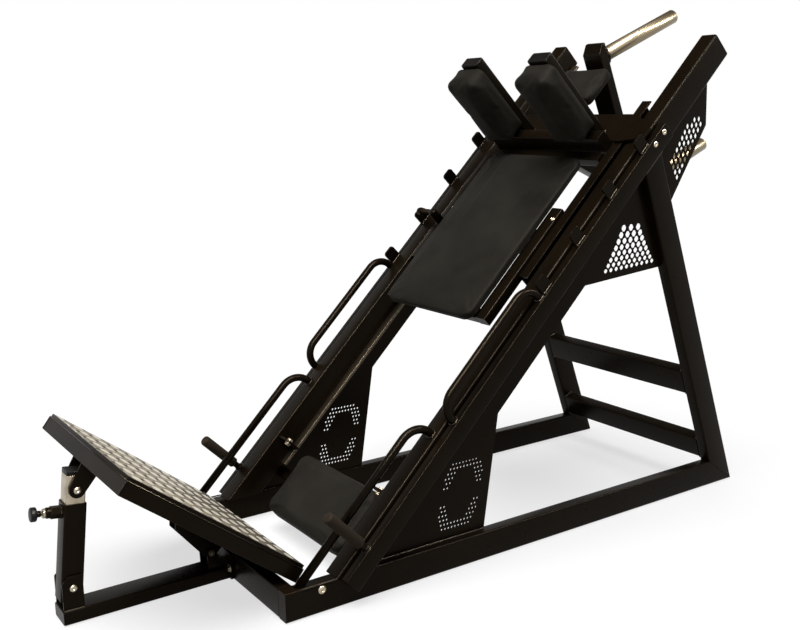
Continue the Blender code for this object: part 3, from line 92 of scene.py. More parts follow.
# The mesh of an object with its modifiers applied
def finalMesh(piece):
    return bpy.data.meshes.new_from_object(piece.evaluated_get(bpy.context.evaluated_depsgraph_get()))


# The same shape on the other side, its faces turned to point out again
def mirrored(points, faces, sign):
    if sign > 0:
        return points, faces
    return points * np.array([-1.0, 1.0, 1.0]), [list(f)[::-1] for f in faces]


# Points and faces of a surface given as rows of points, each row a ring or a strip
def skin(rows, closed=True, caps=True):
    rows = np.asarray(rows, float)
    count, width = rows.shape[:2]
    i, j = np.meshgrid(np.arange(count - 1), np.arange(width if closed else width - 1), indexing="ij")
    k = (j + 1) % width
    low, high = i * width, (i + 1) * width
    faces = np.stack([low + j, low + k, high + k, high + j], -1).reshape(-1, 4).tolist()
    if closed and caps:
        faces.append(list(range(width))[::-1])
        faces.append(list(range((count - 1) * width, count * width)))
    return rows.reshape(-1, 3), faces


# Turns every face round where the shape's signed volume, a sum of triple products, is negative
def outward(points, faces):
    volume = 0.0
    for f in faces:
        for b, c in zip(f[1:-1], f[2:]):
            volume += np.dot(points[f[0]], np.cross(points[b], points[c]))
    return points, faces if volume > 0 else [list(f)[::-1] for f in faces]


def solid(rows, caps=True):
    return outward(*skin(rows, True, caps))


# Several shapes as one list of points and faces
def joined(shapes):
    points, faces, base = [], [], 0
    for p, f in shapes:
        points.append(np.asarray(p, float))
        faces += [[v + base for v in face] for face in f]
        base += len(p)
    return np.concatenate(points), faces


# The arc that rounds a corner. It leaves the two sides at the radius over the tangent of half the angle
# between them, and each point weights the two end radii by the sines of its share of the turn
def cornerArc(before, corner, after, radius, steps):
    back, ahead = unit(before - corner), unit(after - corner)
    half = np.arccos(np.clip(back @ ahead, -1, 1)) / 2
    if radius <= 0 or abs(half - pi / 2) < 0.01:
        return corner[None]
    middle = corner + unit(back + ahead) * (radius / sin(half))
    first, last = (corner + way * (radius / np.tan(half)) - middle for way in (back, ahead))
    share = np.linspace(0, 1, steps + 1)[:, None]
    sweep = pi - 2 * half
    return middle + (first * np.sin((1 - share) * sweep) + last * np.sin(share * sweep)) / sin(sweep)


# A flat outline with its corners rounded, by one radius or by one each
def roundedCorners(corners, radius, steps=5):
    corners = np.asarray(corners, float)
    radii = np.broadcast_to(radius, len(corners))
    return np.concatenate([cornerArc(corners[i - 1], corner, corners[(i + 1) % len(corners)], radii[i], steps)
                           for i, corner in enumerate(corners)])


# A path of straight runs joined by arcs
def arcPath(corners, radius, steps):
    arcs = [cornerArc(*three, radius, steps) for three in zip(corners, corners[1:], corners[2:])]
    return np.concatenate([[corners[0]], *arcs, [corners[-1]]])


def box(width, depth, corner=0.005, steps=5):
    w, d = width / 2, depth / 2
    return roundedCorners([(w, d), (-w, d), (-w, -d), (w, -d)], corner, steps)


# An outline carried along its own axis between two end planes, each a place and a normal
def prism(outline, centre, side, up, low, high):
    outline, centre, side, up = (np.asarray(v, float) for v in (outline, centre, side, up))
    way = unit(np.cross(side, up))
    start = centre + outline[:, :1] * side + outline[:, 1:] * up
    rows = []
    for place, normal in (low, high):
        reach = ((np.asarray(place, float) - start) @ normal) / (way @ normal)
        rows.append(start + reach[:, None] * way)
    return solid(rows)


# A flat plate from an outline, between two distances along side x up
def plate(outline, low, high, origin, side, up):
    way = unit(np.cross(side, up))
    origin = np.asarray(origin, float)
    return prism(outline, origin, side, up, (origin + way * low, way), (origin + way * high, way))


def circle(count):
    angle = np.arange(count) * 2 * pi / count
    return np.stack([np.cos(angle), np.sin(angle)], -1)


# Directions all round an axis
def around(way, count):
    side = unit(np.cross(way, upward if abs(way[2]) < 0.9 else across))
    return circle(count) @ np.array([side, np.cross(way, side)])


# A turned shape: pairs of distance along and radius, closed flat at both ends
def turned(profile, start, way, count=48):
    start, way = np.asarray(start, float), unit(way)
    ring = around(way, count)
    return solid([start + way * a + ring * r for a, r in profile])


# A round section carried along a path; the radius may change from place to place
def carried(path, radius, count):
    path = np.asarray(path, float)
    radii = np.broadcast_to(radius, len(path))
    ways = np.gradient(path, axis=0)
    ways /= np.linalg.norm(ways, axis=1)[:, None]
    normal = np.cross(ways[0], upward if abs(ways[0][2]) < 0.9 else across)
    rows = []
    for place, way, r in zip(path, ways, radii):
        normal = unit(normal - way * (normal @ way))
        rows.append(place + circle(count) @ np.array([normal, np.cross(way, normal)]) * r)
    return solid(rows)


def bevel(piece, width, segments=2, angle=35):
    step = piece.modifiers.new("edges", "BEVEL")
    step.width = width
    step.segments = segments
    step.limit_method = "ANGLE"
    step.angle_limit = radians(angle)
    step.harden_normals = True


# A hex colour as the linear values that a shader wants
def colour(text):
    values = np.array([int(text[i:i + 2], 16) / 255 for i in (1, 3, 5)])
    linear = np.where(values <= 0.04045, values / 12.92, ((values + 0.055) / 1.055) ** 2.4)
    return (*[float(v) for v in linear], 1.0)


# A node with its settings, links and constant inputs in one call
def addNode(tree, kind, settings=None, links=None, **values):
    node = tree.nodes.new(kind)
    for name, value in (settings or {}).items():
        setattr(node, name, value)
    for name, value in values.items():
        node.inputs[name.replace("_", " ")].default_value = value
    for name, source in (links or {}).items():
        tree.links.new(source, node.inputs[name])
    return node


# A value stretched from one range to another
def ramp(tree, source, low, high, fromLow=0.0, fromHigh=1.0):
    return addNode(tree, "ShaderNodeMapRange", None, {"Value": source}, From_Min=fromLow, From_Max=fromHigh,
                   To_Min=low, To_Max=high).outputs["Result"]


def noise(tree, place, scale, detail, stretched=None):
    if stretched:
        place = addNode(tree, "ShaderNodeMapping", None, {"Vector": place}, Scale=stretched).outputs["Vector"]
    return addNode(tree, "ShaderNodeTexNoise", None, {"Vector": place}, Scale=scale, Detail=detail).outputs[0]


# Leather cells: high in the middle of each, low along the creases
def cells(tree, place, scale):
    node = addNode(tree, "ShaderNodeTexVoronoi", {"feature": "DISTANCE_TO_EDGE"}, {"Vector": place},
                   Scale=scale)
    return ramp(tree, node.outputs["Distance"], 0.0, 1.0, 0.0, 0.35)


# A material: one shade, or two that a noise mixes over the given part of its range; a roughness that follows
# the same noise or another; and a relief from a pattern, given with its height and strength
def newMaterial(name, shades, clouds=None, spread=(0.3, 0.7), rough=None, wear=None, relief=None, **values):
    material = bpy.data.materials.new(name)
    material.use_nodes = True
    tree = material.node_tree
    shader = tree.nodes["Principled BSDF"]
    shader.inputs["Base Color"].default_value = colour(shades[0])
    for key, value in values.items():
        shader.inputs[key.replace("_", " ")].default_value = value
    place = addNode(tree, "ShaderNodeTexCoord").outputs["Object"]
    if clouds:
        cloud = noise(tree, place, *clouds)
        share = ramp(tree, cloud, 0.0, 1.0, *spread)
        mix = addNode(tree, "ShaderNodeMix", {"data_type": "RGBA"}, {"Factor": share}, A=colour(shades[0]),
                      B=colour(shades[1]))
        tree.links.new(mix.outputs["Result"], shader.inputs["Base Color"])
    if rough:
        worn = noise(tree, place, *wear) if wear else cloud
        tree.links.new(ramp(tree, worn, *rough, 0.3, 0.7), shader.inputs["Roughness"])
    if relief:
        pattern, sizes, height, strength = relief
        raised = addNode(tree, "ShaderNodeBump", None, {"Height": pattern(tree, place, *sizes)},
                         Strength=strength, Distance=height)
        tree.links.new(raised.outputs["Normal"], shader.inputs["Normal"])
    return material


# Polyester powder melted on steel: a fine orange peel 1 to 2 mm across breaks up the reflections
# Its warm specular tint is a painted reflection: every reflection on the coat takes a brown cast, as from a
# warm room
powder = {"shades": ("#130e08", "#1c150c"), "clouds": (5.0, 3.0), "rough": (0.27, 0.31), "wear": (40.0, 2.0),
          "relief": (noise, (620.0, 1.0), 0.000008, 0.35), "Specular_Tint": (1.0, 0.84, 0.66, 1.0)}
finishes = {
    "coat": (newMaterial("powder_coated_steel", Specular_IOR_Level=0.05, **powder), "powder_coat"),
    # The same coat over a weld, where the ripples of the bead catch small glints
    "weld": (newMaterial("powder_coated_weld", Specular_IOR_Level=0.3, **powder), "powder_coat"),
    # Embossed vinyl over foam: small leather cells, slightly lighter and darker in soft patches at random
    # Its warm specular tint is a painted reflection, a brown cast on its sheen as from a warm room
    "vinyl": (newMaterial("grained_vinyl", ("#25231f", "#302e29"), (7.0, 4.0), (0.32, 0.68), (0.52, 0.66),
                          relief=(cells, (520.0,), 0.00022, 0.5), Specular_IOR_Level=0.025,
                          Specular_Tint=(1.0, 0.94, 0.84, 1.0)), "upholstery"),
    # Hard chrome plating: a mirror dulled by faint turning marks round the sleeve. Its base colour is darker
    # and warmer than real chrome, a painted reflection of a dim, warm room
    "chrome": (newMaterial("chromed_steel", ("#7d7361",), rough=(0.33, 0.35),
                           wear=(1.0, 2.0, (6.0, 160.0, 160.0)), Metallic=1.0), "sleeve_chrome"),
    # Zinc plated steel: a soft metal sheen with fine drawn lines
    "zinc": (newMaterial("zinc_plated_steel", ("#8d826f", "#b0a592"), (30.0, 3.0), rough=(0.24, 0.40),
                         wear=(1.0, 2.0, (700.0, 700.0, 20.0)), Metallic=1.0), "bright_steel"),
    # Blackened steel bar, oiled and worn by the wheels: dark, with a dull metal sheen
    "track": (newMaterial("blackened_steel", ("#3a342b", "#544c40"), (1.0, 3.0, (300.0, 12.0, 300.0)),
                          Metallic=1.0, Roughness=0.42), "bright_steel"),
    # Moulded rubber: matte, with a fine sandblasted texture from the mould
    "rubber": (newMaterial("moulded_rubber", ("#332a20",), relief=(noise, (900.0, 2.0), 0.00012, 0.5),
                           Specular_IOR_Level=0.05, Roughness=0.66), "grip_rubber"),
    # Moulded black nylon: smooth and a little waxy
    "nylon": (newMaterial("moulded_nylon", ("#121110",), rough=(0.36, 0.48), wear=(60.0, 2.0),
                          Specular_IOR_Level=0.12), "roller_plastic"),
    # Rolled aluminium tread: the worn tops of the raised marks, pale partly from wear and partly as painted
    # light on the lit tops of the relief
    "tread": (newMaterial("rolled_aluminium", ("#dad1bf", "#f3ebda"), (180.0, 3.0), rough=(0.5, 0.62),
                          Specular_IOR_Level=0.2, Metallic=0.1), "tread"),
    # The sheet between the raised marks: duller as rolled, and darker partly as painted shade between the lit
    # tops
    "field": (newMaterial("rolled_aluminium_field", ("#7a7263", "#958c7b"), (120.0, 3.0),
                          Specular_IOR_Level=0.2, Metallic=0.1, Roughness=0.6), "tread"),
    # Painted shade in the hollows between the marks: dull, dark lenses laid where the marks' shaded sides and
    # shadows fall
    "valley": (newMaterial("rolled_aluminium_painted_shade", ("#2f2922", "#504940"), (60.0, 3.0),
                           Specular_IOR_Level=0.1, Roughness=0.7), "tread"),
    # Stained plywood boards under the cushions, seen only from below
    "board": (newMaterial("stained_plywood", ("#181410", "#2b241c"), (1.0, 4.0, (8.0, 60.0, 400.0)),
                          (0.35, 0.65), Roughness=0.7), "board"),
}


# Gives a piece its finish, the body it rides on and the frame node it stands for
def dress(piece, finish, body, node=None):
    material, slotName = finishes[finish]
    piece.data.materials.append(material)
    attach(piece, body)
    if node:
        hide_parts(node)


# One piece from a list of shapes, with its small edge rounding
def build(name, shapes, finish="coat", body="frame", node=None, edge=0.0012, angle=35, sign=1.0):
    piece = newPiece(name, *mirrored(*joined(shapes), sign))
    if edge:
        bevel(piece, edge, 2, angle)
    dress(piece, finish, body, node)
    return piece


# The same piece left and right; the shapes are those of the left
def pair(name, shapes, finish="coat", body="frame", node=None, edge=0.0012):
    for word, sign in sides:
        build(name + word.capitalize(), shapes, finish, body, node and node + "_" + word, edge, sign=sign)


# A weld bead: its radius swells once every pitch, as each puddle of metal overlaps the last
def bead(start, end, radius, pitch=0.0045):
    start, end = np.asarray(start, float), np.asarray(end, float)
    length = np.linalg.norm(end - start)
    share = np.linspace(0, 1, max(int(length / pitch * 6), 8))
    swell = 1 + 0.16 * np.abs(np.sin(share * length / pitch * pi))
    ends = np.clip(np.minimum(share, 1 - share) * length / radius, 0.0, 1.0)
    ends = np.sqrt(np.clip(1 - (1 - ends) ** 2, 0.05, 1))
    return carried(start + share[:, None] * (end - start), radius * swell * ends, 10)


# A weld bead round a bar's foot
def ringBead(centre, way, radius, thick=0.0028, lumps=22):
    swell = thick * (1 + 0.16 * np.abs(np.sin(np.arange(lumps * 5) * pi / 5)))
    rows = [centre + out * (radius + s * circle(10)[:, :1]) + way * s * circle(10)[:, 1:]
            for out, s in zip(around(way, lumps * 5), swell)]
    return solid(rows + rows[:1], False)


# A hexagon head on its washer, with the rounded top that forging leaves
def bolt(place, way, flats, height, washer):
    ring = around(way, 36)
    angle = np.arange(36) * 2 * pi / 36
    flat = (flats / 2 / np.cos((angle + pi / 6) % (pi / 3) - pi / 6))[:, None]
    radius = flats / sqrt(3)
    rows = [place + way * 0.0018 + ring * flat, place + way * height * 0.86 + ring * flat,
            place + way * height + ring * np.minimum(flat, radius * 0.90),
            place + way * (height + 0.0004) + ring * (radius * 0.45)]
    under = turned([(0.0, washer), (0.0015, washer), (0.002, washer - 0.0006)], place, way, 36)
    return joined([solid(rows), under])


# A low domed head with a socket: its height falls off with 0.85 times the square of the share of its radius
def capBolt(place, way, radius, height):
    dome = [(height * (1 - 0.85 * r * r), radius * r) for r in np.linspace(1, 0, 8) if r > 0.40]
    profile = [(0.0, radius)] + dome
    top = profile[-1][0]
    return turned(profile + [(top, radius * 0.36), (top - 0.003, radius * 0.34)], place, way, 36)


print("materials ready")

# Base frame: rails, uprights, beams and the tubes between them
mitre = unit([0.0, 0.0856, 0.1257])
railEnd = rearward * upright["foot"]
leanWay = unit([0.0, -upright["lean"], 1.0])
leanSquare = np.array([0.0, leanWay[2], -leanWay[1]])
base = {"height": 0.0856, "width": 0.042, "front": -0.021, "corner": 0.0055}
railX = railOut - base["width"] / 2
baseTop = base["height"] + gap
pair("baseRail", [prism(box(base["width"], base["height"], base["corner"]),
                        (railX, 0.0, base["height"] / 2), -across, upward,
                        ((0, base["front"], 0), rearward), (railEnd, mitre))], node="base_rail")
depth = upright["depth"] * leanWay[2]
pair("rearUpright", [prism(box(base["width"], depth, base["corner"]),
                           railEnd + across * railX - leanSquare * depth / 2, across, leanSquare,
                           (railEnd + mitre * gap, mitre), (spot(0, 1, -beamDepth - gap), square))],
     node="rear_upright")
beam = {"corner": 0.0075, "top": 2.2269, "cap": 0.004, "capInset": 0.0008}
width, capLow = beamOut - beamIn, beam["top"] - beam["cap"]
beamAt = spot((beamIn + beamOut) / 2, 1.0, -beamDepth / 2)
pair("mainBeam", [prism(box(width, beamDepth, beam["corner"], 6), beamAt, across, square,
                        (upward * baseTop, upward), (spot(0, capLow, 0), along)),
                  prism(box(width - beam["capInset"], beamDepth - beam["capInset"], beam["corner"], 6),
                        beamAt, across, square, *stretch(capLow + gap, beam["top"]))], node="main_beam",
     edge=0.0016)


def crossTube(half, height, deep, centre, side, up):
    return prism(box(deep, height), centre, side, up, (across * -half, across), (across * half, across))


tubes = {"lower": (0.0805, 0.1328), "upper": (0.092, 0.3925), "deep": 0.042, "bead": 0.0026}
build("frontCrossTube", [crossTube(railIn - gap, base["height"], base["width"], upward * base["height"] / 2,
                                   rearward, upward)], node="front_cross_tube")
for label in ("lower", "upper"):
    height, middle = tubes[label]
    centre = np.array([0.0, upright["foot"] - upright["depth"] - upright["lean"] * middle, middle])
    build(label + "RearTube",
          [crossTube(railIn - gap, height, tubes["deep"], centre + leanSquare * tubes["deep"] / 2,
                     leanSquare, leanWay)], node="rear_" + label + "_cross_tube")
    starts = [centre + across * (railIn - 0.001) * s + leanWay * height / 2 * e
              for s in (-1, 1) for e in (-1, 1)]
    build(label + "RearTubeWelds", [bead(p, p + leanSquare * tubes["deep"], tubes["bead"]) for p in starts],
          "weld", edge=0)

# Catch rails hung beside the beams, with their catches and the pegs that carry the hand grips
rail = {"groove": 0.005, "width": 0.0286, "top": 0.009, "depth": 0.056, "lip": 0.005, "start": 0.130,
        "end": 1.840}
catch = {"first": 1.163, "pitch": 0.188, "count": 4, "length": 0.045, "thick": 0.008, "height": 0.040}
peg = {"t": 0.2355, "length": 0.165, "radius": 0.010, "grip": 0.145, "gripRadius": 0.017}
railX0 = beamOut + rail["groove"]
railX1 = railX0 + rail["width"]
middleX = (railX0 + railX1) / 2
bottomN = -rail["top"] - rail["depth"]
lipN = bottomN + rail["lip"]
section = roundedCorners([(railX0, -rail["top"]), (railX1, -rail["top"]), (railX1, bottomN),
                          (beamOut + gap, bottomN), (beamOut + gap, lipN), (railX0, lipN)],
                         [0.003] * 3 + [0.001] * 3, 4)
shapes = [prism(section, spot(0, 0, 0), across, square, *stretch(rail["start"], rail["end"]))]
beads = []
for k in range(catch["count"]):
    t = catch["first"] + k * catch["pitch"]
    low, high = t - catch["length"] / 2, t + catch["length"] / 2
    outline = roundedCorners([(low, -rail["top"] - 0.002), (high, -rail["top"] - 0.002),
                              (high, catch["height"]), (low, catch["height"])], [0.0, 0.0, 0.011, 0.011], 6)
    shapes.append(plate(outline, middleX - catch["thick"] / 2, middleX + catch["thick"] / 2, spot(0, 0, 0),
                        along, square))
    for side in (-1, 1):
        x = middleX + side * (catch["thick"] / 2 + 0.0008)
        beads.append(bead(spot(x, low, -rail["top"] + 0.001), spot(x, high, -rail["top"] + 0.001), 0.0030))
shapes.append(turned([(0.0, 0.0135), (0.007, 0.0135), (0.0085, 0.0128), (0.010, peg["radius"]),
                      (peg["length"] + rail["top"] - 0.0045, peg["radius"])],
                     spot(middleX, peg["t"], -rail["top"] - 0.002), square, 40))
pair("catchRail", shapes, node="catch_rail", edge=0.0010)
beads.append(ringBead(spot(middleX, peg["t"], -rail["top"] + 0.0005), square, 0.0145, 0.0022))
pair("catchWelds", beads, "weld", edge=0)
length = peg["grip"]
pair("handGrip", [turned([(0.0, 0.0125), (0.0, 0.0158), (0.0015, 0.0168), (0.004, peg["gripRadius"]),
                          (length - 0.008, peg["gripRadius"]), (length - 0.004, 0.0160),
                          (length - 0.0015, 0.0142), (length - 0.0004, 0.0115), (length, 0.006)],
                         spot(middleX, peg["t"], peg["length"] - length), square)], "rubber",
     node="handle_grip", edge=0)

# Guide tracks under the channels
track = {"width": 0.029, "thick": 0.010, "n": -0.0805, "low": 0.330, "high": 2.200}
pair("guideTrack", [prism(box(track["width"], track["thick"], 0.0015, 3),
                          spot(beamIn - gap - track["width"] / 2, 0, track["n"]), across, square,
                          *stretch(track["low"], track["high"]))], "track", node="guide_track", edge=0.0006)
print("frame tubes ready")


# A gusset drawn as a filled flat curve with holes, then given its thickness
def holedPlate(name, outline, holes, node):
    for word, sign in sides:
        drawing = bpy.data.curves.new(name, "CURVE")
        drawing.dimensions = "2D"
        drawing.fill_mode = "BOTH"
        drawing.extrude = gusset["thick"] / 2
        for loop in [outline] + holes:
            line = drawing.splines.new("POLY")
            line.points.add(len(loop) - 1)
            flat = np.zeros((len(loop), 4))
            flat[:, :2] = loop
            flat[:, 3] = 1
            line.points.foreach_set("co", flat.ravel())
            line.use_cyclic_u = True
        holder = bpy.data.objects.new(name, drawing)
        bpy.context.scene.collection.objects.link(holder)
        mesh = finalMesh(holder)
        bpy.data.objects.remove(holder, do_unlink=True)
        y, z, thickness = pointsOf(mesh).T
        placed = np.stack([gusset["x"] * sign + thickness, y + base["front"], z], -1)
        faces = [list(f.vertices) for f in mesh.polygons]
        bpy.data.meshes.remove(mesh)
        piece = newPiece(name + word.capitalize(), placed, faces, smooth=False)
        piece.modifiers.new("weld", "WELD").merge_threshold = 0.00001
        bevel(piece, 0.0005, 1, 60)
        dress(piece, "coat", "frame", node + "_" + word)


# Where two lines of the side view meet
def crossing(first, alongFirst, second, alongSecond):
    first, alongFirst, second, alongSecond = np.array([first, alongFirst, second, alongSecond], float)
    share = np.linalg.solve(np.array([alongFirst, -alongSecond]).T, second - first)
    return first + share[0] * alongFirst


def sidePoint(t, n):
    place = spot(0, t, n)
    return np.array([place[1] - base["front"], place[2]])


def hexHole(centre, width, height):
    corners = circle(6) * (width / 2, height / 2 / sin(radians(60)))
    return centre + roundedCorners(corners, min(width, height) * hexes["round"], 3)


gusset = {"x": 0.350, "thick": 0.005, "foot": 0.700, "rearDrop": 0.3137, "stripDepth": 0.080,
          "stripLow": 0.7966, "stripShort": 0.4037, "stripEnd": 0.0711}
hexes = {"rows": 8, "first": 3, "left": -0.0608, "leftRun": 0.077, "right": 0.0052, "rightRun": 0.070,
         "top": 0.1732, "drop": 0.132, "closing": 0.955, "tilt": 0.014, "width": 0.026, "widthLoss": 0.006,
         "height": 0.0215, "heightLoss": 0.008, "round": 0.20}
ring = {"y": 0.5856, "z": 0.3155, "lean": 0.0031, "grid": 0.0125, "row": 0.01396, "hole": 0.0075,
        "spans": {0: [(0, 7)], 1: [(-1, 8)], 2: [(-2, 0), (6, 8)], 3: [(-3, -1), (6, 8)],
                  4: [(-3, -2), (6, 7)], 5: [(-4, -3), (6, 7)], 9: [(-6, -5), (4, 5)],
                  10: [(-6, -5), (3, 4)], 11: [(-7, -5), (2, 4)], 12: [(-7, -5), (1, 3)], 13: [(-7, 2)],
                  14: [(-7, 1)]}}
fin = {"low": 0.1925, "reach": 0.2444, "rise": 0.0751, "topReach": 0.2404, "hole": 0.0165, "column": 0.0215,
       "columnRise": 0.09, "rowBack": 0.55, "rowDown": 0.88, "holeReach": 0.1884, "holeRise": 0.0931,
       "rows": [(0, 2), (-1, 4)] + [(0, 4)] * 6 + [(1, 3), (1, 2), (1, 1)]}  # columns to the rear, and holes
upRails = along[1:]
level, plumb = (1.0, 0.0), (0.0, 1.0)
underLine = sidePoint(0.0, -beamDepth - gap)
lean = (-upright["lean"], 1.0)
frontFace = (upright["foot"] - base["front"] - upright["depth"] - gap * 1.2, 0.0)
rearFace = (upright["foot"] - base["front"] + gap * 1.2, 0.0)
frontCorner = crossing(frontFace, lean, underLine, upRails)
rearCorner = crossing(rearFace, lean, underLine, upRails)
stripHigh = (frontCorner - (gusset["stripEnd"], 0.0)) @ upRails - gusset["stripShort"]
rearEnd = crossing(frontFace, lean, (0.0, frontCorner[1] - gusset["rearDrop"]), level)
sideOutline = np.array([crossing(underLine, upRails, (0.0, baseTop), level), (gusset["foot"], baseTop),
                        sidePoint(gusset["stripLow"], -beamDepth - gusset["stripDepth"]),
                        sidePoint(stripHigh, -beamDepth - gusset["stripDepth"]), rearEnd, frontCorner])
sideHoles = []
for row in range(hexes["rows"]):
    share = row / (hexes["rows"] - 1)
    leftY = frontCorner[0] + hexes["left"] - hexes["leftRun"] * share
    rightY = frontCorner[0] + hexes["right"] + hexes["rightRun"] * share
    fall = (1 - hexes["closing"] ** row) / (1 - hexes["closing"] ** (hexes["rows"] - 1))
    z = frontCorner[1] - hexes["top"] - hexes["drop"] * fall
    for side in np.linspace(0, 1, hexes["first"] + row):
        sideHoles.append(hexHole((leftY + (rightY - leftY) * side, z + hexes["tilt"] * share * side),
                                 hexes["width"] - hexes["widthLoss"] * share,
                                 hexes["height"] - hexes["heightLoss"] * share))
for row, spans in ring["spans"].items():
    for low, high in spans:
        for k in range(low, high + 1):
            centre = np.array([ring["y"] + ring["lean"] * row + ring["grid"] * k,
                               ring["z"] - ring["row"] * row])
            sideHoles.append(centre + ring["hole"] / 2 * circle(14))
holedPlate("sideGusset", sideOutline, sideHoles, "side_gusset")
finOutline = np.array([rearCorner, crossing(rearFace, lean, (0.0, rearCorner[1] - fin["low"]), level),
                       rearCorner + (fin["reach"], fin["rise"]),
                       crossing(underLine, upRails, (rearCorner[0] + fin["topReach"], 0.0), plumb)])
finHoles = []
column = fin["column"] * np.array([1.0, fin["columnRise"]])
downFront = -fin["column"] * np.array([fin["rowBack"], fin["rowDown"]])
start = rearCorner + (fin["holeReach"], fin["holeRise"]) - downFront
for shift, count in fin["rows"]:
    start = start + downFront + column * shift
    finHoles += [hexHole(start + column * k, fin["hole"], fin["hole"]) for k in range(count)]
holedPlate("rearGusset", finOutline, finHoles, "rear_gusset")
print("gussets ready")

# Grab bars: round tube bent in wide arcs, welded to the rails
bar = {"radius": 0.0125, "count": 40, "upperX": 0.3965, "upperRise": 0.058, "upperLow": 0.670,
       "upperHigh": 1.1265, "upperBend": 0.060, "lowerX": 0.358, "lowerRise": 0.073, "lowerHigh": 0.607,
       "lowerBend": 0.070}
x = bar["upperX"]
foot = -rail["top"] + gap
path = arcPath([spot(x, bar["upperLow"], foot), spot(x, bar["upperLow"], bar["upperRise"]),
                spot(x, bar["upperHigh"], bar["upperRise"]), spot(x, bar["upperHigh"], foot)],
               bar["upperBend"], 18)
pair("upperGrabBar", [carried(path, bar["radius"], bar["count"])], node="upper_grab_bar", edge=0)
pair("upperBarWelds", [ringBead(spot(x, t, foot + 0.001), square, bar["radius"] + 0.0010)
                       for t in (bar["upperLow"], bar["upperHigh"])], "weld", edge=0)
x = bar["lowerX"]
start = spot(x, (baseTop - bar["lowerRise"] * square[2]) / along[2], bar["lowerRise"])
path = arcPath([start, spot(x, bar["lowerHigh"], bar["lowerRise"]), spot(x, bar["lowerHigh"], gap)],
               bar["lowerBend"], 18)
points, faces = carried(path, bar["radius"], bar["count"])
footRing = points[:bar["count"]]
footRing += (baseTop - footRing[:, 2:]) / along[2] * along
pair("lowerGrabBar", [(points, faces)], node="lower_grab_bar", edge=0)
pair("lowerBarWelds", [ringBead(spot(x, bar["lowerHigh"], 0.0012), square, bar["radius"] + 0.0010)], "weld",
     edge=0)

# Stop brackets across the beams' inner faces, each with a bolt and its nut
stop = {"t": 0.395, "thick": 0.008, "width": 0.058, "top": 0.010, "low": -0.0752, "boltIn": 0.040,
        "boltN": -0.030}
highX = beamIn - gap
lowX = highX - stop["width"]
outline = roundedCorners([(lowX + 0.008, stop["low"]), (highX, stop["low"]), (highX, -stop["top"]),
                          (lowX + 0.010, -stop["top"]), (lowX, -stop["top"] - 0.010),
                          (lowX, stop["low"] + 0.008)], 0.002, 3)
pair("stopBracket", [plate(outline, -stop["thick"] / 2, stop["thick"] / 2, spot(0, stop["t"], 0), across,
                           square)], node="stop_bracket", edge=0.0006)
for name, sign, height in (("stopBolt", 1, 0.007), ("stopNut", -1, 0.009)):
    place = spot(beamIn - stop["boltIn"], stop["t"] + sign * stop["thick"] / 2, stop["boltN"])
    pair(name, [bolt(place, along * sign, 0.017, height, 0.012)], "zinc", edge=0.0004)

# Front bolts of the base rails, the bolts near the catch rails' tops and the welds at the beams
trackBolt = {"ts": (1.8175, 1.765), "n": -0.0265, "radius": 0.0095, "height": 0.0028}
pair("railBolt", [capBolt((railOut, 0.092, 0.0667), across, 0.0125, 0.006)], "zinc", edge=0)
pair("trackBolts", [capBolt(spot(railX1, t, trackBolt["n"]), across, trackBolt["radius"], trackBolt["height"])
                    for t in trackBolt["ts"]], "zinc", edge=0)
beamFoot = {"front": 0.0291, "rear": 0.14, "bead": 0.0022, "topBead": 0.0032}
beamJoint = [(railOut + 0.0012, y + base["front"], z - 0.001) for y, z in (frontCorner, rearCorner)]
footBead = [(beamOut - 0.0012, beamFoot[end], base["height"] + 0.0008) for end in ("front", "rear")]
pair("beamWelds", [bead(*footBead, beamFoot["bead"]), bead(*beamJoint, beamFoot["topBead"])], "weld", edge=0)
gussetBead = [(gusset["x"] + gusset["thick"] / 2 + 0.001, y + base["front"], base["height"] + 0.0012)
              for y in (sideOutline[0][0] + 0.006, gusset["foot"] - 0.002)]
pair("gussetWelds", [bead(*gussetBead, 0.0026)], "weld", edge=0)
print("bars and brackets ready")

# Seat board and support
seat = {"half": 0.230, "low": 0.173, "high": 0.403, "top": 0.058, "thick": 0.048, "board": 0.012,
        "inset": 0.020, "tube": 0.035, "tubeT": 0.310}
seatBase = -seat["top"] - seat["thick"]
build("seatBoard", [plate(box(2 * seat["half"] - seat["inset"], seat["high"] - seat["low"] - seat["inset"],
                              0.040, 8), -gap - seat["board"], -gap,
                          spot(0, (seat["low"] + seat["high"]) / 2, seatBase), across, along)], "board",
      node="seat_board")
build("seatSupport", [crossTube(gusset["x"] - gusset["thick"] / 2 - gap, seat["tube"], seat["tube"],
                                spot(0, seat["tubeT"], seatBase - 2 * gap - seat["board"] - seat["tube"] / 2),
                                along, square)], node="seat_support")

# Carriage: channels with their roller axles, tubes and the shoulder plate
channel = {"x": 0.269, "width": 0.040, "web": 0.006, "flange": 0.005, "low": 1.180, "high": 1.924,
           "top": 0.004, "bottom": -0.0865, "corners": [0.004, 0.0012, 0.001, 0.003]}
roller = {"radius": 0.028, "width": 0.016, "n": -0.0472, "face": 0.3085, "ts": (1.242, 1.862)}
low, high = channel["bottom"], channel["top"]
inner, outer, web = channel["x"], channel["x"] + channel["width"], channel["x"] + channel["web"]
section = roundedCorners([(inner, low - channel["flange"]), (outer, low - channel["flange"]), (outer, low),
                          (web, low), (web, high - channel["flange"]), (outer, high - channel["flange"]),
                          (outer, high), (inner, high)], channel["corners"] + channel["corners"][::-1], 4)
face = roller["face"] - web
hub = face - roller["width"]
axles = [turned([(-0.003, 0.014), (hub - gap, 0.014), (hub - gap, 0.010), (face + gap, 0.010),
                 (face + gap, 0.014), (face + 0.0025, 0.014), (face + 0.003, 0.0132)],
                spot(web, t, roller["n"]), across, 36) for t in roller["ts"]]
pair("sideChannel",
     [prism(section, spot(0, 0, 0), across, square, *stretch(channel["low"], channel["high"]))] + axles,
     "coat", "carriage", "side_channel", 0.0006)

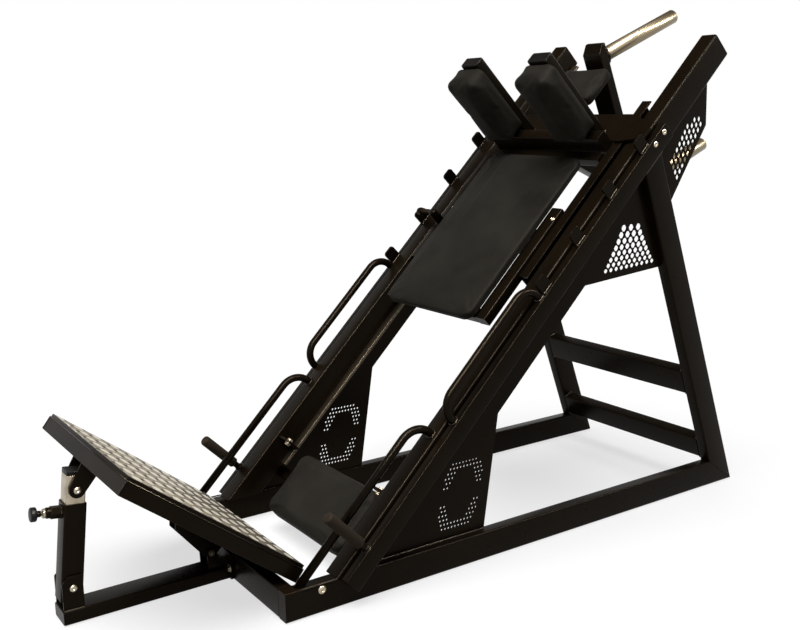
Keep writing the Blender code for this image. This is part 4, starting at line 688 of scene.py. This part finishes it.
# A wheel: a bore, a sunk web and rounded shoulders, the same on both faces
radius, width = roller["radius"], roller["width"]
profile = [(0.0, 0.0108), (0.0, 0.019), (0.0012, 0.0195), (0.0012, 0.0245), (0.0004, radius - 0.0022),
           (0.0022, radius)]
profile += [(width - a, r) for a, r in profile[::-1]]
for label, t in zip(("lower", "upper"), roller["ts"]):
    start = spot(roller["face"] - width, t, roller["n"])
    wheel = solid([start + across * a + around(across, 56) * r for a, r in profile + profile[:1]], False)
    for word, sign in sides:
        build("roller" + label.capitalize() + word.capitalize(), [wheel], "nylon",
              "wheel_" + label + "_" + word, "roller_" + label + "_" + word, 0.0003, 30, sign)

padTube = {"width": 0.050, "depth": 0.035, "top": 0.015, "low": 1.000, "high": 1.447, "screwT": 1.402}
padTubeN = padTube["top"] - padTube["depth"] / 2
padTubeX = channel["x"] - gap - padTube["width"] / 2
carriageTube = padTube["depth"]
pair("padTube", [prism(box(padTube["width"], padTube["depth"]), spot(padTubeX, 0, padTubeN), across, square,
                       *stretch(padTube["low"], padTube["high"]))], "coat", "carriage", "pad_tube")
pair("padTubeScrew", [capBolt(spot(padTubeX + 0.014, padTube["screwT"], padTube["top"]), square, 0.0075,
                              0.004)], "zinc", "carriage", edge=0)
build("lowerCarriageTube", [crossTube(channel["x"] - 2 * gap - padTube["width"], carriageTube, carriageTube,
                                      spot(0, padTube["low"] + carriageTube / 2, padTubeN), along, square)],
      "coat", "carriage", "carriage_lower_cross_tube")
build("upperCarriageTube", [crossTube(channel["x"] - gap, carriageTube, carriageTube,
                                      spot(0, crossbeamT - 0.010 - carriageTube / 2, padTubeN), along,
                                      square)], "coat", "carriage", "carriage_upper_cross_tube")
cross = {"thick": 0.0394, "height": 0.0835, "top": 0.0615}
build("crossbeam", [crossTube(channel["x"] - gap, cross["height"], cross["thick"],
                              spot(0, crossbeamT + cross["thick"] / 2, cross["top"] - cross["height"] / 2),
                              along, square)], "coat", "carriage", "crossbeam")
plateLow = crossbeamT + cross["thick"] + gap
shoulderPlate = {"top": 0.0125, "bottom": 0.0043, "half": 0.3945, "flat": 0.300,
                 "steps": (0.0, 0.0173, 0.060, 0.118), "corners": [0.004, 0.004, 0.006, 0.004]}
halfWidths = (shoulderPlate["flat"], shoulderPlate["half"], shoulderPlate["half"], shoulderPlate["flat"])
leftHalf = [(x, plateLow + step) for x, step in zip(halfWidths, shoulderPlate["steps"])]
outline = roundedCorners(leftHalf + [(-x, t) for x, t in leftHalf[::-1]],
                         shoulderPlate["corners"] + shoulderPlate["corners"][::-1], 4)
build("shoulderPlate", [plate(outline, shoulderPlate["bottom"], shoulderPlate["top"], spot(0, 0, 0), across,
                              along)], "coat", "carriage", "shoulder_plate", 0.0007)
post = {"x": 0.170, "width": 0.084, "top": 0.360, "cap": 0.004, "t": plateLow + 0.0058}
postAt = spot(post["x"], post["t"] + cross["thick"] / 2, 0)
capN = post["top"] - post["cap"]
pair("shoulderPost", [prism(box(post["width"], cross["thick"]), postAt, across, along,
                            (spot(0, 0, shoulderPlate["top"] + gap), square), (spot(0, 0, capN), square))],
     "coat", "carriage", "shoulder_post")
pair("shoulderPostCap", [prism(box(post["width"] - 0.0006, cross["thick"] - 0.0006, 0.006, 6), postAt,
                               across, along, (spot(0, 0, capN + 0.0004), square),
                               (spot(0, 0, post["top"]), square))], "nylon", "carriage", edge=0.0014)
starts = [spot(post["x"] + s * (post["width"] / 2 + 0.001), post["t"], shoulderPlate["top"] + 0.001)
          for s in (-1, 1)]
pair("shoulderPostWelds", [bead(p, p + along * cross["thick"], 0.0034) for p in starts], "weld", "carriage",
     edge=0)

# Weight horn: leaning post, brace, spine and the two chromed sleeves
tilt = radians(22.5)
hornUp = np.array([0.0, -sin(tilt), cos(tilt)])
hornBack = np.array([0.0, cos(tilt), sin(tilt)])
hornAt = spot(0.0, crossbeamT + 0.3858, 0.05845)
horn = {"width": 0.0835, "depth": 0.0394, "pitch": 0.506, "above": 0.053, "below": 0.045, "chamfer": 0.030}
bottom, top, front = -horn["pitch"] - horn["below"], horn["above"], -horn["depth"]
outline = [(0.0, bottom), (0.0, top), (front * 0.35, top), (front, top - horn["chamfer"]), (front, bottom)]
hornPost = build("hornPost", [plate(outline, -horn["width"] / 2, horn["width"] / 2, hornAt, hornBack,
                                    hornUp)], "coat", "carriage", "horn_post", 0.0042, 30)
hornPost.modifiers["edges"].segments = 4
hornFront = (hornAt - hornBack * (horn["depth"] + gap), hornBack)
start = spot(0, crossbeamT + cross["thick"] / 2, cross["top"] - cross["height"])
way = unit(hornFront[0] - hornUp * (horn["pitch"] - 0.012) - start)
build("hornBrace", [prism(box(0.060, 0.036), start, across, np.cross(way, across),
                          (start - square * gap, square), hornFront)], "coat", "carriage", "horn_brace")
spineDepth = 0.040 - shoulderPlate["top"] - 2 * gap
build("spineTube",
      [prism(box(0.060, spineDepth, 0.004), spot(0, 0, shoulderPlate["top"] + gap + spineDepth / 2), across,
             square, (spot(0, post["t"], 0), along), hornFront)], "coat", "carriage", "spine_tube")
sleeve = {"radius": 0.025, "length": 0.396, "collar": 0.040, "collarLength": 0.014}
r, length, wide, thick = sleeve["radius"], sleeve["length"], sleeve["collar"], sleeve["collarLength"]
for label, drop in (("Upper", 0.0), ("Lower", horn["pitch"])):
    root = hornAt - hornUp * drop
    build("weightSleeve" + label,
          [turned([(gap + thick, r), (length - 0.0030, r), (length - 0.0018, r - 0.0004),
                   (length - 0.0006, r - 0.0014), (length, r - 0.0030)], root, hornBack, 72)], "chrome",
          "carriage", "weight_sleeve_" + label.lower(), 0)
    build("sleeveCollar" + label,
          [turned([(gap, wide - 0.001), (0.0015, wide), (thick - 0.003, wide),
                   (thick - 0.001, wide - 0.0012), (thick, wide - 0.003)], root, hornBack, 72)], "coat",
          "carriage", edge=0)

# Latch lever on the right channel
latch = {"x": -0.289, "t": 1.345, "top": 0.061, "leverN": 0.048, "reach": 0.091}
height = latch["top"] - channel["top"] - gap
hub = turned([(0.0, 0.015), (height - 0.006, 0.015), (height - 0.003, 0.0142), (height - 0.001, 0.0122),
              (height, 0.009)], spot(latch["x"], latch["t"], channel["top"] + gap), square, 40)
reach = latch["reach"]
lever = turned([(0.0, 0.011), (reach - 0.030, 0.011), (reach - 0.0295, 0.0128), (reach - 0.006, 0.0128),
                (reach - 0.003, 0.0118), (reach - 0.001, 0.0095), (reach, 0.006)],
               spot(latch["x"], latch["t"], latch["leverN"]), -across, 40)
build("latchLever", [hub, lever], "coat", "latch", "latch_lever", 0)
print("carriage ready")

# Footplate arm on the floor, its ears, pins and flange
arm = {"width": 0.0835, "height": 0.0394, "reach": 0.490, "cap": 0.003}
ears = {"x": 0.0312, "thick": 0.006, "pinY": -0.457, "pinZ": 0.100}
hinge = {"y": -0.055, "z": 0.090, "x": 0.018}
baseAt = rearward * base["front"]


# The convex outline round some flat points
def hull(points):
    cloud = sorted(map(tuple, points))

    def chain(line):
        out = []
        for p in line:
            while len(out) > 1 and ((out[-1][0] - out[-2][0]) * (p[1] - out[-2][1])
                                    - (out[-1][1] - out[-2][1]) * (p[0] - out[-2][0])) <= 1e-12:
                out.pop()
            out.append(p)
        return out[:-1]
    return np.array(chain(cloud) + chain(cloud[::-1]))


def roundedHull(corners, middle, radius):
    return hull(list(corners) + list(np.array(middle) + radius * circle(64)))


# The same outline in a plate on either side of the middle plane
def twoPlates(outline, inner, thick):
    return [plate(outline, low, low + thick, baseAt, rearward, upward) for low in (inner, -inner - thick)]


# A pin across the middle plane with a head at each end
def crossPin(name, at, end, half, head, sizes, finish, body, edge=0):
    heads = [head(at + across * end * s, across * s, *sizes) for s in (1, -1)]
    build(name, heads + [turned([(-half, 0.0078), (half, 0.0078)], at, across, 24)], finish, body, edge=edge)


inside = arm["height"] - 0.002
frontY, backY, topZ = ears["pinY"] - 0.030, ears["pinY"] + 0.027, ears["pinZ"] + 0.035
footEar = roundedCorners([(frontY, inside), (backY, inside), (backY, topZ), (frontY + 0.018, topZ),
                          (frontY, topZ - 0.018)], [0, 0, 0.004, 0.004, 0.004], 4)
clevis = roundedHull([(hinge["y"] - 0.012, inside), (hinge["y"] + 0.030, inside)], (hinge["y"], hinge["z"]),
                     0.014)
armMiddle = baseAt + upward * arm["height"] / 2
armEnd = baseAt - rearward * arm["reach"]
build("footplateArm", [prism(box(arm["width"], arm["height"]), armMiddle, across, upward,
                             (armEnd + rearward * arm["cap"], rearward), (baseAt - rearward * gap, rearward))]
      + twoPlates(footEar, ears["x"], ears["thick"]) + twoPlates(clevis, hinge["x"] + 0.0072, 0.006),
      node="footplate_arm")
build("armEndCap", [prism(box(arm["width"] - 0.0006, arm["height"] - 0.0006, 0.006, 6), armMiddle, across,
                          upward, (armEnd, rearward), (armEnd + rearward * (arm["cap"] - gap), rearward))])
build("armFlange", [plate(box(arm["width"] + 0.030, base["height"] - 0.004, 0.004), -0.008, -gap,
                          baseAt + upward * base["height"] / 2, -across, upward)], edge=0.0007)
pinEnd = ears["x"] + ears["thick"]
build("armWelds",
      [bead(*[baseAt + (s * (pinEnd + 0.001), y, arm["height"] + 0.0006) for y in (frontY, backY)], 0.0030)
       for s in (-1, 1)], "weld", edge=0)
footPin = baseAt + (0.0, ears["pinY"], ears["pinZ"])
crossPin("footPin", footPin, pinEnd, ears["x"] + 0.003, capBolt, (0.0105, 0.0050), "zinc", "frame")
hingeAt = baseAt + (0.0, hinge["y"], hinge["z"])
hingeEnd = hinge["x"] + 0.0132
crossPin("hingePin", hingeAt, hingeEnd, hingeEnd, bolt, (0.013, 0.0060, 0.0095), "track", "frame", 0.0003)
build("flangeBolts", [bolt(baseAt + (s * 0.046, -0.008, 0.0351), -rearward, 0.017, 0.0075, 0.012)
                      for s in (1, -1)], "zinc", edge=0.0003)

# Footplate: an open tray under a rolled tread sheet with raised marks
treadAngle = radians(37.75)
treadDown = np.array([0.0, cos(treadAngle), -sin(treadAngle)])
treadOut = np.array([0.0, sin(treadAngle), cos(treadAngle)])
treadEdge = baseAt + (0.0, -0.377, 0.478) + treadOut * 0.0068 - treadDown * 0.0075
tread = {"half": 0.326, "length": 0.597, "thick": 0.0110, "skirt": 0.0532, "wall": 0.004, "border": 0.006,
         "inset": 0.0010, "stepX": 0.0708, "stepDown": 0.065, "shift": 0.0045, "firstX": 0.285,
         "firstDown": 0.0405, "turn": 64.0, "mark": (0.074, 0.036, 0.0012), "valley": (0.050, 0.0185, 0.0005)}
lug = {"outline": ((0.3515, 0.0), (0.3515, 0.0908), (0.3615, 0.1058), (0.5325, 0.0)), "radius": 0.020}
topPinAt = (-0.425, 0.371)


def onTread(x, down, out):
    return treadEdge + across * x + treadDown * down + treadOut * out


def treadSide(down, out):
    place = onTread(0, down, out)
    return place[1] - base["front"], place[2]


# A rectangle in the tread's plane, drawn in by a margin
def inset(margin, radius):
    x, low, high = tread["half"] - margin, margin, tread["length"] - margin
    return roundedCorners([(-x, low), (x, low), (x, high), (-x, high)], radius, 4)


w, h, k = tread["half"], tread["length"], tread["wall"]
deck = -tread["thick"] - gap
sunk = deck - k / 2
trayShapes = [plate(box(2 * w, h, 0.006), deck - k, deck, treadEdge + treadDown * h / 2, across, treadDown)]
for x0, x1, d0, d1 in ((-w, w, 0.0, k), (-w, w, h - k, h), (-w, -w + k, 0.0, h), (w - k, w, 0.0, h)):
    trayShapes.append(plate([(x0, d0), (x1, d0), (x1, d1), (x0, d1)], -tread["skirt"], deck - 0.0005,
                            treadEdge, across, treadDown))
earOutline = roundedHull([treadSide(k / 2, sunk), treadSide(k / 2, -tread["skirt"] + 0.008),
                          treadSide(0.062, sunk)], topPinAt, 0.022)
lugOutline = roundedHull([treadSide(down, -deep or sunk) for down, deep in lug["outline"]],
                         (hinge["y"], hinge["z"]), lug["radius"])
trayShapes += twoPlates(earOutline, ears["x"], ears["thick"]) + twoPlates(lugOutline, hinge["x"], 0.006)
build("footplateTray", trayShapes, "coat", "footplate", "footplate_tray", 0.0010, 40)
topPin = baseAt + (0.0, *topPinAt)
crossPin("topPin", topPin, pinEnd, ears["x"] + 0.003, capBolt, (0.0105, 0.0055), "zinc", "footplate")
seams = [bead(onTread(s * w, down, deck - 0.001), onTread(s * w, down, -tread["skirt"] + 0.001), 0.0014)
         for s in (-1, 1) for down in (0.0, h)]
corners = [onTread(s * w, down, deck - 0.0004) for s, down in ((1, 0.0), (1, h), (-1, h), (-1, 0.0))]
seams += [turned([(0.0, 0.0013), (np.linalg.norm(b - a), 0.0013)], a, b - a, 12)
          for a, b in zip(corners, corners[1:] + corners[:1])]
build("trayCornerWelds", seams, "weld", "footplate", edge=0)
build("treadSheet", [plate(inset(tread["inset"], 0.005), -tread["thick"], -0.0012, treadEdge, across,
                           treadDown)], "coat", "footplate", "tread_plate", 0.0006)
build("treadField", [plate(inset(tread["border"], 0.003), -0.0013, -0.0009, treadEdge, across, treadDown)],
      "field", "footplate", edge=0)


# Domed lenses on a turned lattice, each row across a little further down than the last. Half the width falls
# off as the square of the share along the lens, and the height as the root of one less its fourth power
def treadMarks(shift, size):
    length, width, height = size
    u = np.linspace(-1, 1, 13)
    turn = radians(tread["turn"])
    grid = []
    for side, lift in ((-1.0, 0.0), (-0.62, 0.8), (0.0, 1.0), (0.62, 0.8), (1.0, 0.0)):
        p = u * length / 2
        q = side * width / 2 * (1 - u ** 2 * 0.96)
        z = -0.0011 + height * lift * np.sqrt(np.clip(1 - u ** 4, 0, 1)) * 0.66
        grid.append(np.stack([-p * sin(turn) - q * cos(turn), p * cos(turn) - q * sin(turn), z], -1))
    flat, faces = skin(grid, closed=False)
    points = treadEdge + flat @ np.array([across, treadDown, treadOut])
    a, b, c = points[faces[0][:3]]
    if np.cross(b - a, c - a) @ treadOut < 0:
        faces = [f[::-1] for f in faces]
    places = [(tread["firstX"] - tread["stepX"] * (row + shift),
               tread["firstDown"] + tread["stepDown"] * (step + shift) + tread["shift"] * row)
              for row in range(-1, 11) for step in range(-2, 11)]
    return [(points + across * x + treadDown * down, faces) for x, down in places]


# The marks, and the painted shade of the valleys between them, end at the sheet's plain border
b = tread["border"]
for name, size, shift, finish in (("treadMarks", "mark", 0.0, "tread"),
                                  ("treadValleyShade", "valley", 0.5, "valley")):
    marks = build(name, treadMarks(shift, tread[size]), finish, "footplate", edge=0)
    cut = bmesh.new()
    cut.from_mesh(marks.data)
    for place, normal in ((onTread(w - b, 0, 0), across), (onTread(b - w, 0, 0), -across),
                          (onTread(0, b, 0), -treadDown), (onTread(0, h - b, 0), treadDown)):
        bmesh.ops.bisect_plane(cut, geom=cut.verts[:] + cut.edges[:] + cut.faces[:], plane_co=place,
                               plane_no=normal, clear_outer=True)
    cut.to_mesh(marks.data)
    cut.free()
print("footplate ready")

# Adjusting post: outer tube on the foot pin, zinc inner tube with its end cap, and the pull pin
postUp = unit(topPin - footPin)
postFront = np.array([0.0, -postUp[2], postUp[1]])
reachTop = np.linalg.norm(topPin - footPin)
tube = {"size": 0.060, "wall": 0.0035, "corner": 0.006, "below": 0.040, "above": 0.232, "mouth": 0.060,
        "innerBelow": 0.195, "innerAbove": 0.050, "play": 0.0008, "cap": 0.012, "pull": 0.207, "boss": 0.042}


def onPost(s, front=0.0):
    return footPin + postUp * s + postFront * front


# The outer tube is open at its upper end: outer walls, the rim, then the walls inside
outer = box(tube["size"], tube["size"], tube["corner"])
inner = box(*[tube["size"] - 2 * tube["wall"]] * 2, tube["corner"] - tube["wall"])
heights = (-tube["below"], tube["above"], tube["above"], tube["above"] - tube["mouth"])
walls = [onPost(s) + o @ np.array([across, postFront]) for o, s in zip((outer, outer, inner, inner), heights)]
boss = onPost(tube["pull"], tube["size"] / 2 - 0.001)
nut = [(0.0, 0.0195), (0.004, 0.0195), (0.005, 0.018), (0.030, 0.018), (0.031, 0.0165)]
build("postOuter", [solid(walls), turned(nut, boss, postFront, 6),
                    turned([(0.0, 0.0150), (0.0405, 0.0150), (0.0418, 0.0138)], boss, postFront, 40)],
      "coat", "post_lower", "post_outer", 0.0007)
size = tube["size"] - 2 * tube["wall"] - tube["play"]
capAt = reachTop + tube["innerAbove"]
build("postInner", [prism(box(size, size, 0.004), footPin, across, postFront,
                          (onPost(reachTop - tube["innerBelow"]), postUp),
                          (onPost(capAt - tube["cap"]), postUp))], "zinc", "post_upper", "post_inner",
      0.0006)
build("postCap", [prism(box(size - 0.0002, size - 0.0002), footPin, across, postFront,
                        (onPost(capAt - tube["cap"] + 0.0002), postUp), (onPost(capAt), postUp))],
      "nylon", "post_upper", edge=0.0016)
face = onPost(tube["pull"], tube["size"] / 2 + tube["boss"] + gap)
build("pullPinRing", [turned([(0.0, 0.0120), (0.0006, 0.0132), (0.0066, 0.0132), (0.0075, 0.0118),
                              (0.0080, 0.0072), (0.0240, 0.0072)], face, postFront, 40)], "zinc", "puller",
      edge=0)
build("pullPinKnob", [turned([(0.0125, 0.0085), (0.0215, 0.0090), (0.0228, 0.0120), (0.0240, 0.0180),
                              (0.0258, 0.0195), (0.0368, 0.0195), (0.0385, 0.0178), (0.0390, 0.0060)], face,
                             postFront)], "nylon", "puller", "pull_pin", 0)
print("post ready")


# Cushions: foam under vinyl, drawn as rings in the pad's own directions, then swelled by a cloth simulation.
# This ring is a rounded rectangle with the same number of points whatever its size
def roundRing(halfX, halfY, radius, straight=12, bend=8):
    radius = min(radius, halfX, halfY)
    x, y = halfX - radius, halfY - radius
    centres = np.array([(x, y), (-x, y), (-x, -y), (x, -y)])
    points = []
    for quarter, centre in enumerate(centres):
        for angle in pi / 2 * (quarter + np.arange(bend + 1) / bend):
            points.append(centre + radius * np.array([cos(angle), sin(angle)]))
        end = centres[(quarter + 1) % 4] + points[-1] - centre
        for step in range(1, straight):
            points.append(points[-1] + (end - points[-1]) / (straight - step + 1))
    return np.array(points)


# Rings from the base up the side, over a quarter round, to the crowned face. The side is drawn in by a half
# sine between base and edge. The face stands above its rim by the crown times one less the square of x and
# one less the fourth power of y, x and y being shares of the half sizes
def cushionShape(pad):
    halfX, halfY = pad["half"], (pad["high"] - pad["low"]) / 2
    edge, crown, draw = pad["edge"], pad["crown"], pad["draw"]
    sideTop = pad["thick"] - crown - edge
    foot, footInset = 0.0035, 0.0018
    rows = [(0.008, 0.0), (0.0045, 0.0), (0.0025, 0.0012), (footInset, foot)]
    rows += [(footInset * (1 - s) + draw * sin(pi * s), foot + (sideTop - foot) * s)
             for s in np.linspace(0.12, 1.0, 6)]
    rows += [(edge * (1 - cos(a)), sideTop + edge * sin(a)) for a in np.radians(np.linspace(10, 90, 9))]
    rows += [(edge + (min(halfX, halfY) - edge) * min(s, 0.985), None) for s in np.linspace(0, 1, 15)[1:]]
    grid = []
    for margin, height in rows:
        flat = roundRing(halfX - margin, halfY - margin, max(pad["corner"] - margin, 0.004))
        lift = np.full(len(flat), height)
        if height is None or margin >= edge - 1e-9:
            x, y = flat[:, 0] / halfX, flat[:, 1] / halfY
            lift = pad["thick"] - crown + crown * np.clip((1 - x ** 2) * (1 - y ** 4), 0, 1)
        grid.append(np.column_stack([flat, lift]))
    return solid(np.array(grid, float))


# Evens out the small steps that remeshing leaves: each point goes half way to the mean of its neighbours,
# then away from it by a little more, so that the shape doesn't shrink
def relaxed(mesh, rounds):
    points = pointsOf(mesh)
    edges = np.zeros(len(mesh.edges) * 2, int)
    mesh.edges.foreach_get("vertices", edges)
    edges = edges.reshape(-1, 2)
    for turn in range(rounds):
        total, number = np.zeros_like(points), np.zeros(len(points))
        for a, b in ((0, 1), (1, 0)):
            np.add.at(total, edges[:, a], points[edges[:, b]])
            np.add.at(number, edges[:, a], 1)
        weight = 0.5 if turn % 2 == 0 else -0.52
        points = points + weight * (total / number[:, None] - points)
    setPoints(mesh, points)
    return points


foam = {"quality": 4, "mass": 0.25, "tension_stiffness": 12, "compression_stiffness": 12,
        "bending_stiffness": 0.8, "use_pressure": True, "uniform_pressure_force": 4.0,
        "vertex_group_mass": "base"}
cushionFrames = 20


# Remeshes, blows the shape up with the cloth's own pressure, its base held, and caps how far a point moves
def swelled(piece, pad):
    step = piece.modifiers.new("even", "REMESH")
    step.mode = "VOXEL"
    step.voxel_size = pad["voxel"]
    mesh = finalMesh(piece)
    piece.modifiers.clear()
    piece.data = mesh
    before = relaxed(mesh, 12)
    held = np.nonzero(before[:, 2] < pad["voxel"] * 0.6)[0]
    piece.vertex_groups.new(name="base").add(held.tolist(), 1.0, "REPLACE")
    cloth = piece.modifiers.new("foam", "CLOTH")
    for name, value in foam.items():
        setattr(cloth.settings, name, value)
    cloth.settings.effector_weights.gravity = 0.0
    cloth.collision_settings.use_collision = False
    cloth.point_cache.frame_start = 1
    cloth.point_cache.frame_end = cushionFrames
    scene = bpy.context.scene
    for number in range(1, cushionFrames + 1):
        scene.frame_set(number)
    made = finalMesh(piece)
    move = pointsOf(made) - before
    bpy.data.meshes.remove(made)
    piece.modifiers.clear()
    piece.vertex_groups.clear()
    scene.frame_set(1)
    far = np.linalg.norm(move, axis=1)
    move *= (np.minimum(far, pad["cap"]) / np.maximum(far, 1e-9))[:, None]
    setPoints(mesh, before + move)
    relaxed(mesh, 6)


def cushion(name, pad, origin, up, body, node):
    piece = newPiece(name, *cushionShape(pad))
    swelled(piece, pad)
    points = pointsOf(piece.data)
    if "band" in pad:  # the zones beside the middle band are lower, more so towards the upper end
        x, y = np.abs(points[:, 0]), points[:, 1] / (pad["high"] - pad["low"]) * 2
        beside = np.clip((x - pad["band"]) / (pad["half"] - pad["band"]), 0, 1)
        ease = np.clip((x - pad["band"]) / 0.012, 0, 1)
        share = np.clip((y + 0.45) / 1.35, 0, 1) ** 1.2
        top = np.clip(points[:, 2] / pad["thick"], 0, 1) ** 2
        points[:, 2] -= (pad["drop"] * beside + pad["step"] * ease * ease * (3 - 2 * ease)) * share * top
    middle = np.asarray(origin, float) + up * (pad["low"] + pad["high"]) / 2
    setPoints(piece.data, middle + points @ np.array([across, up, np.cross(across, up)]))
    piece.data.shade_smooth()
    finer = piece.modifiers.new("smooth", "SUBSURF")
    finer.levels = 1
    finer.render_levels = 1
    dress(piece, "vinyl", body, node)


seatPad = {"half": 0.230, "low": 0.173, "high": 0.403, "thick": 0.048, "corner": 0.045, "edge": 0.018,
           "crown": 0.006, "draw": 0.0022, "voxel": 0.006, "cap": 0.006, "fill": 0.8}
cushion("seatCushion", seatPad, spot(0, 0, seatBase), along, "frame", "seat_pad")
backPad = {"half": 0.2335, "low": 0.972, "high": 1.647, "thick": 0.032, "corner": 0.045, "edge": 0.015,
           "crown": 0.003, "draw": 0.0015, "voxel": 0.006, "cap": 0.005, "fill": 0.85, "band": 0.105,
           "drop": 0.0075, "step": 0.0020, "n": 0.020, "boardInset": 0.024}
cushion("backCushion", backPad, spot(0, 0, backPad["n"]), along, "carriage", "back_pad")
headPad = {"half": 0.104, "low": 1.864, "high": 2.017, "thick": 0.041, "corner": 0.022, "edge": 0.013,
           "crown": 0.003, "draw": 0.0012, "voxel": 0.005, "cap": 0.004, "fill": 0.85}
cushion("headCushion", headPad, spot(0, 0, 0.040), along, "carriage", "head_pad")
shoulderPad = {"half": 0.071, "low": 0.071, "high": 0.351, "thick": 0.088, "corner": 0.026, "edge": 0.022,
               "crown": 0.005, "draw": 0.0025, "voxel": 0.005, "cap": 0.006, "fill": 0.85, "x": 0.175}
for word, sign in sides:
    cushion("shoulderCushion" + word.capitalize(), shoulderPad,
            spot(shoulderPad["x"] * sign, post["t"] - gap, 0), square, "carriage", "shoulder_pad_" + word)
width = 2 * backPad["half"] - backPad["boardInset"]
height = backPad["high"] - backPad["low"] - backPad["boardInset"]
build("padBoard", [plate(box(width, height, 0.040, 8), padTube["top"] + gap - backPad["n"], -gap,
                         spot(0, (backPad["low"] + backPad["high"]) / 2, backPad["n"]), across, along)],
      "board", "carriage", "pad_board")
print("cushions ready")

# Stage: a white floor that keeps the shadow, a white world, a warm ceiling that only reflections see
stage = {"floor": 40.0, "floorShade": 0.36, "floorGlow": 0.675, "ceiling": "#5a4632", "fill": 0.035}
white = (1.0, 1.0, 1.0, 1.0)


def plainMaterial(name):
    material = bpy.data.materials.new(name)
    material.use_nodes = True
    material.node_tree.nodes.clear()
    return material, material.node_tree


# One shader for rays of the named kinds and another for the rest
def byRay(tree, kinds, shown, rest):
    path = addNode(tree, "ShaderNodeLightPath")
    seen = path.outputs[kinds[0]]
    for kind in kinds[1:]:
        most = addNode(tree, "ShaderNodeMath", {"operation": "MAXIMUM"}, {0: seen, 1: path.outputs[kind]})
        seen = most.outputs[0]
    return addNode(tree, "ShaderNodeMixShader", None, {0: seen, 1: rest.outputs[0], 2: shown.outputs[0]})


corners = np.array([(-1, -1, 0), (1, -1, 0), (1, 1, 0), (-1, 1, 0)], float) * stage["floor"]
floor = newPiece("floor", corners - upward * 0.0015, [[0, 1, 2, 3]], smooth=False)
material, tree = plainMaterial("white_floor")
diffuse = addNode(tree, "ShaderNodeBsdfDiffuse", Color=(*[stage["floorShade"]] * 3, 1.0))
glow = addNode(tree, "ShaderNodeEmission", Color=white, Strength=stage["floorGlow"])
dark = addNode(tree, "ShaderNodeEmission", Color=(0.0, 0.0, 0.0, 1.0), Strength=0.0)
pick = byRay(tree, ("Is Camera Ray", "Is Glossy Ray"), glow, dark)
total = addNode(tree, "ShaderNodeAddShader", None, {0: diffuse.outputs[0], 1: pick.outputs[0]})
addNode(tree, "ShaderNodeOutputMaterial", None, {"Surface": total.outputs[0]})
floor.data.materials.append(material)

ceiling = newPiece("warmCeiling", np.array([(-4, -5, 3.6), (4, -5, 3.6), (4, 5, 3.6), (-4, 5, 3.6)], float),
                   [[3, 2, 1, 0]], smooth=False)
material, tree = plainMaterial("warm_ceiling")
glow = addNode(tree, "ShaderNodeEmission", Color=colour(stage["ceiling"]), Strength=1.0)
addNode(tree, "ShaderNodeOutputMaterial", None, {"Surface": glow.outputs[0]})
ceiling.data.materials.append(material)
for kind in ("camera", "diffuse", "shadow", "transmission"):
    setattr(ceiling, "visible_" + kind, False)

world = bpy.data.worlds.new("studio")
bpy.context.scene.world = world
world.use_nodes = True
tree = world.node_tree
tree.nodes.clear()
seenWorld = addNode(tree, "ShaderNodeBackground", Color=white, Strength=1.0)
fill = addNode(tree, "ShaderNodeBackground", Color=(1.0, 0.97, 0.93, 1.0), Strength=stage["fill"])
pick = byRay(tree, ("Is Camera Ray", "Is Glossy Ray", "Is Transmission Ray"), seenWorld, fill)
addNode(tree, "ShaderNodeOutputWorld", None, {"Surface": pick.outputs[0]})


# A strip lamp that only glossy surfaces see, for the highlights along edges
def lamp(name, place, target, size, power, long, tint=(1.0, 0.95, 0.88)):
    light = bpy.data.lights.new(name, "AREA")
    light.shape = "RECTANGLE"
    light.size, light.size_y = size
    light.energy = power
    light.color = tint
    holder = bpy.data.objects.new(name, light)
    bpy.context.scene.collection.objects.link(holder)
    back = unit(np.array(place) - np.array(target))
    side = unit(np.cross(long, back))
    turn = np.stack([side, np.cross(back, side), back, place], 1)
    holder.matrix_world = Matrix([*turn.tolist(), [0, 0, 0, 1]])
    holder.visible_diffuse = False
    holder.visible_camera = False


key = bpy.data.lights.new("key", "SUN")
key.energy = 3.1
key.angle = radians(48)
sun = bpy.data.objects.new("key", key)
bpy.context.scene.collection.objects.link(sun)
sun.rotation_euler = (radians(14), radians(6), 0.0)
lamp("beamStrip", (1.5, -0.2, 2.8), (0.2, 0.8, 0.8), (0.25, 3.2), 430, along)
lamp("railStrip", (1.9, 2.7, 2.9), (0.2, 1.0, 0.2), (0.25, 2.6), 150, rearward)

# Camera fitted to the photograph
view = {"place": (2.6143453, -1.15758453, 1.35096295), "turn": (78.4271002, 0.8360027, 55.6087319),
        "lens": 45.461287, "sensor": 36.0}
camera = bpy.data.objects.new("camera", bpy.data.cameras.new("camera"))
bpy.context.scene.collection.objects.link(camera)
camera.location = view["place"]
camera.rotation_euler = tuple(radians(a) for a in view["turn"])
camera.data.lens = view["lens"]
camera.data.sensor_width = view["sensor"]
bpy.context.scene.camera = camera
bpy.context.scene.view_settings.view_transform = "Standard"
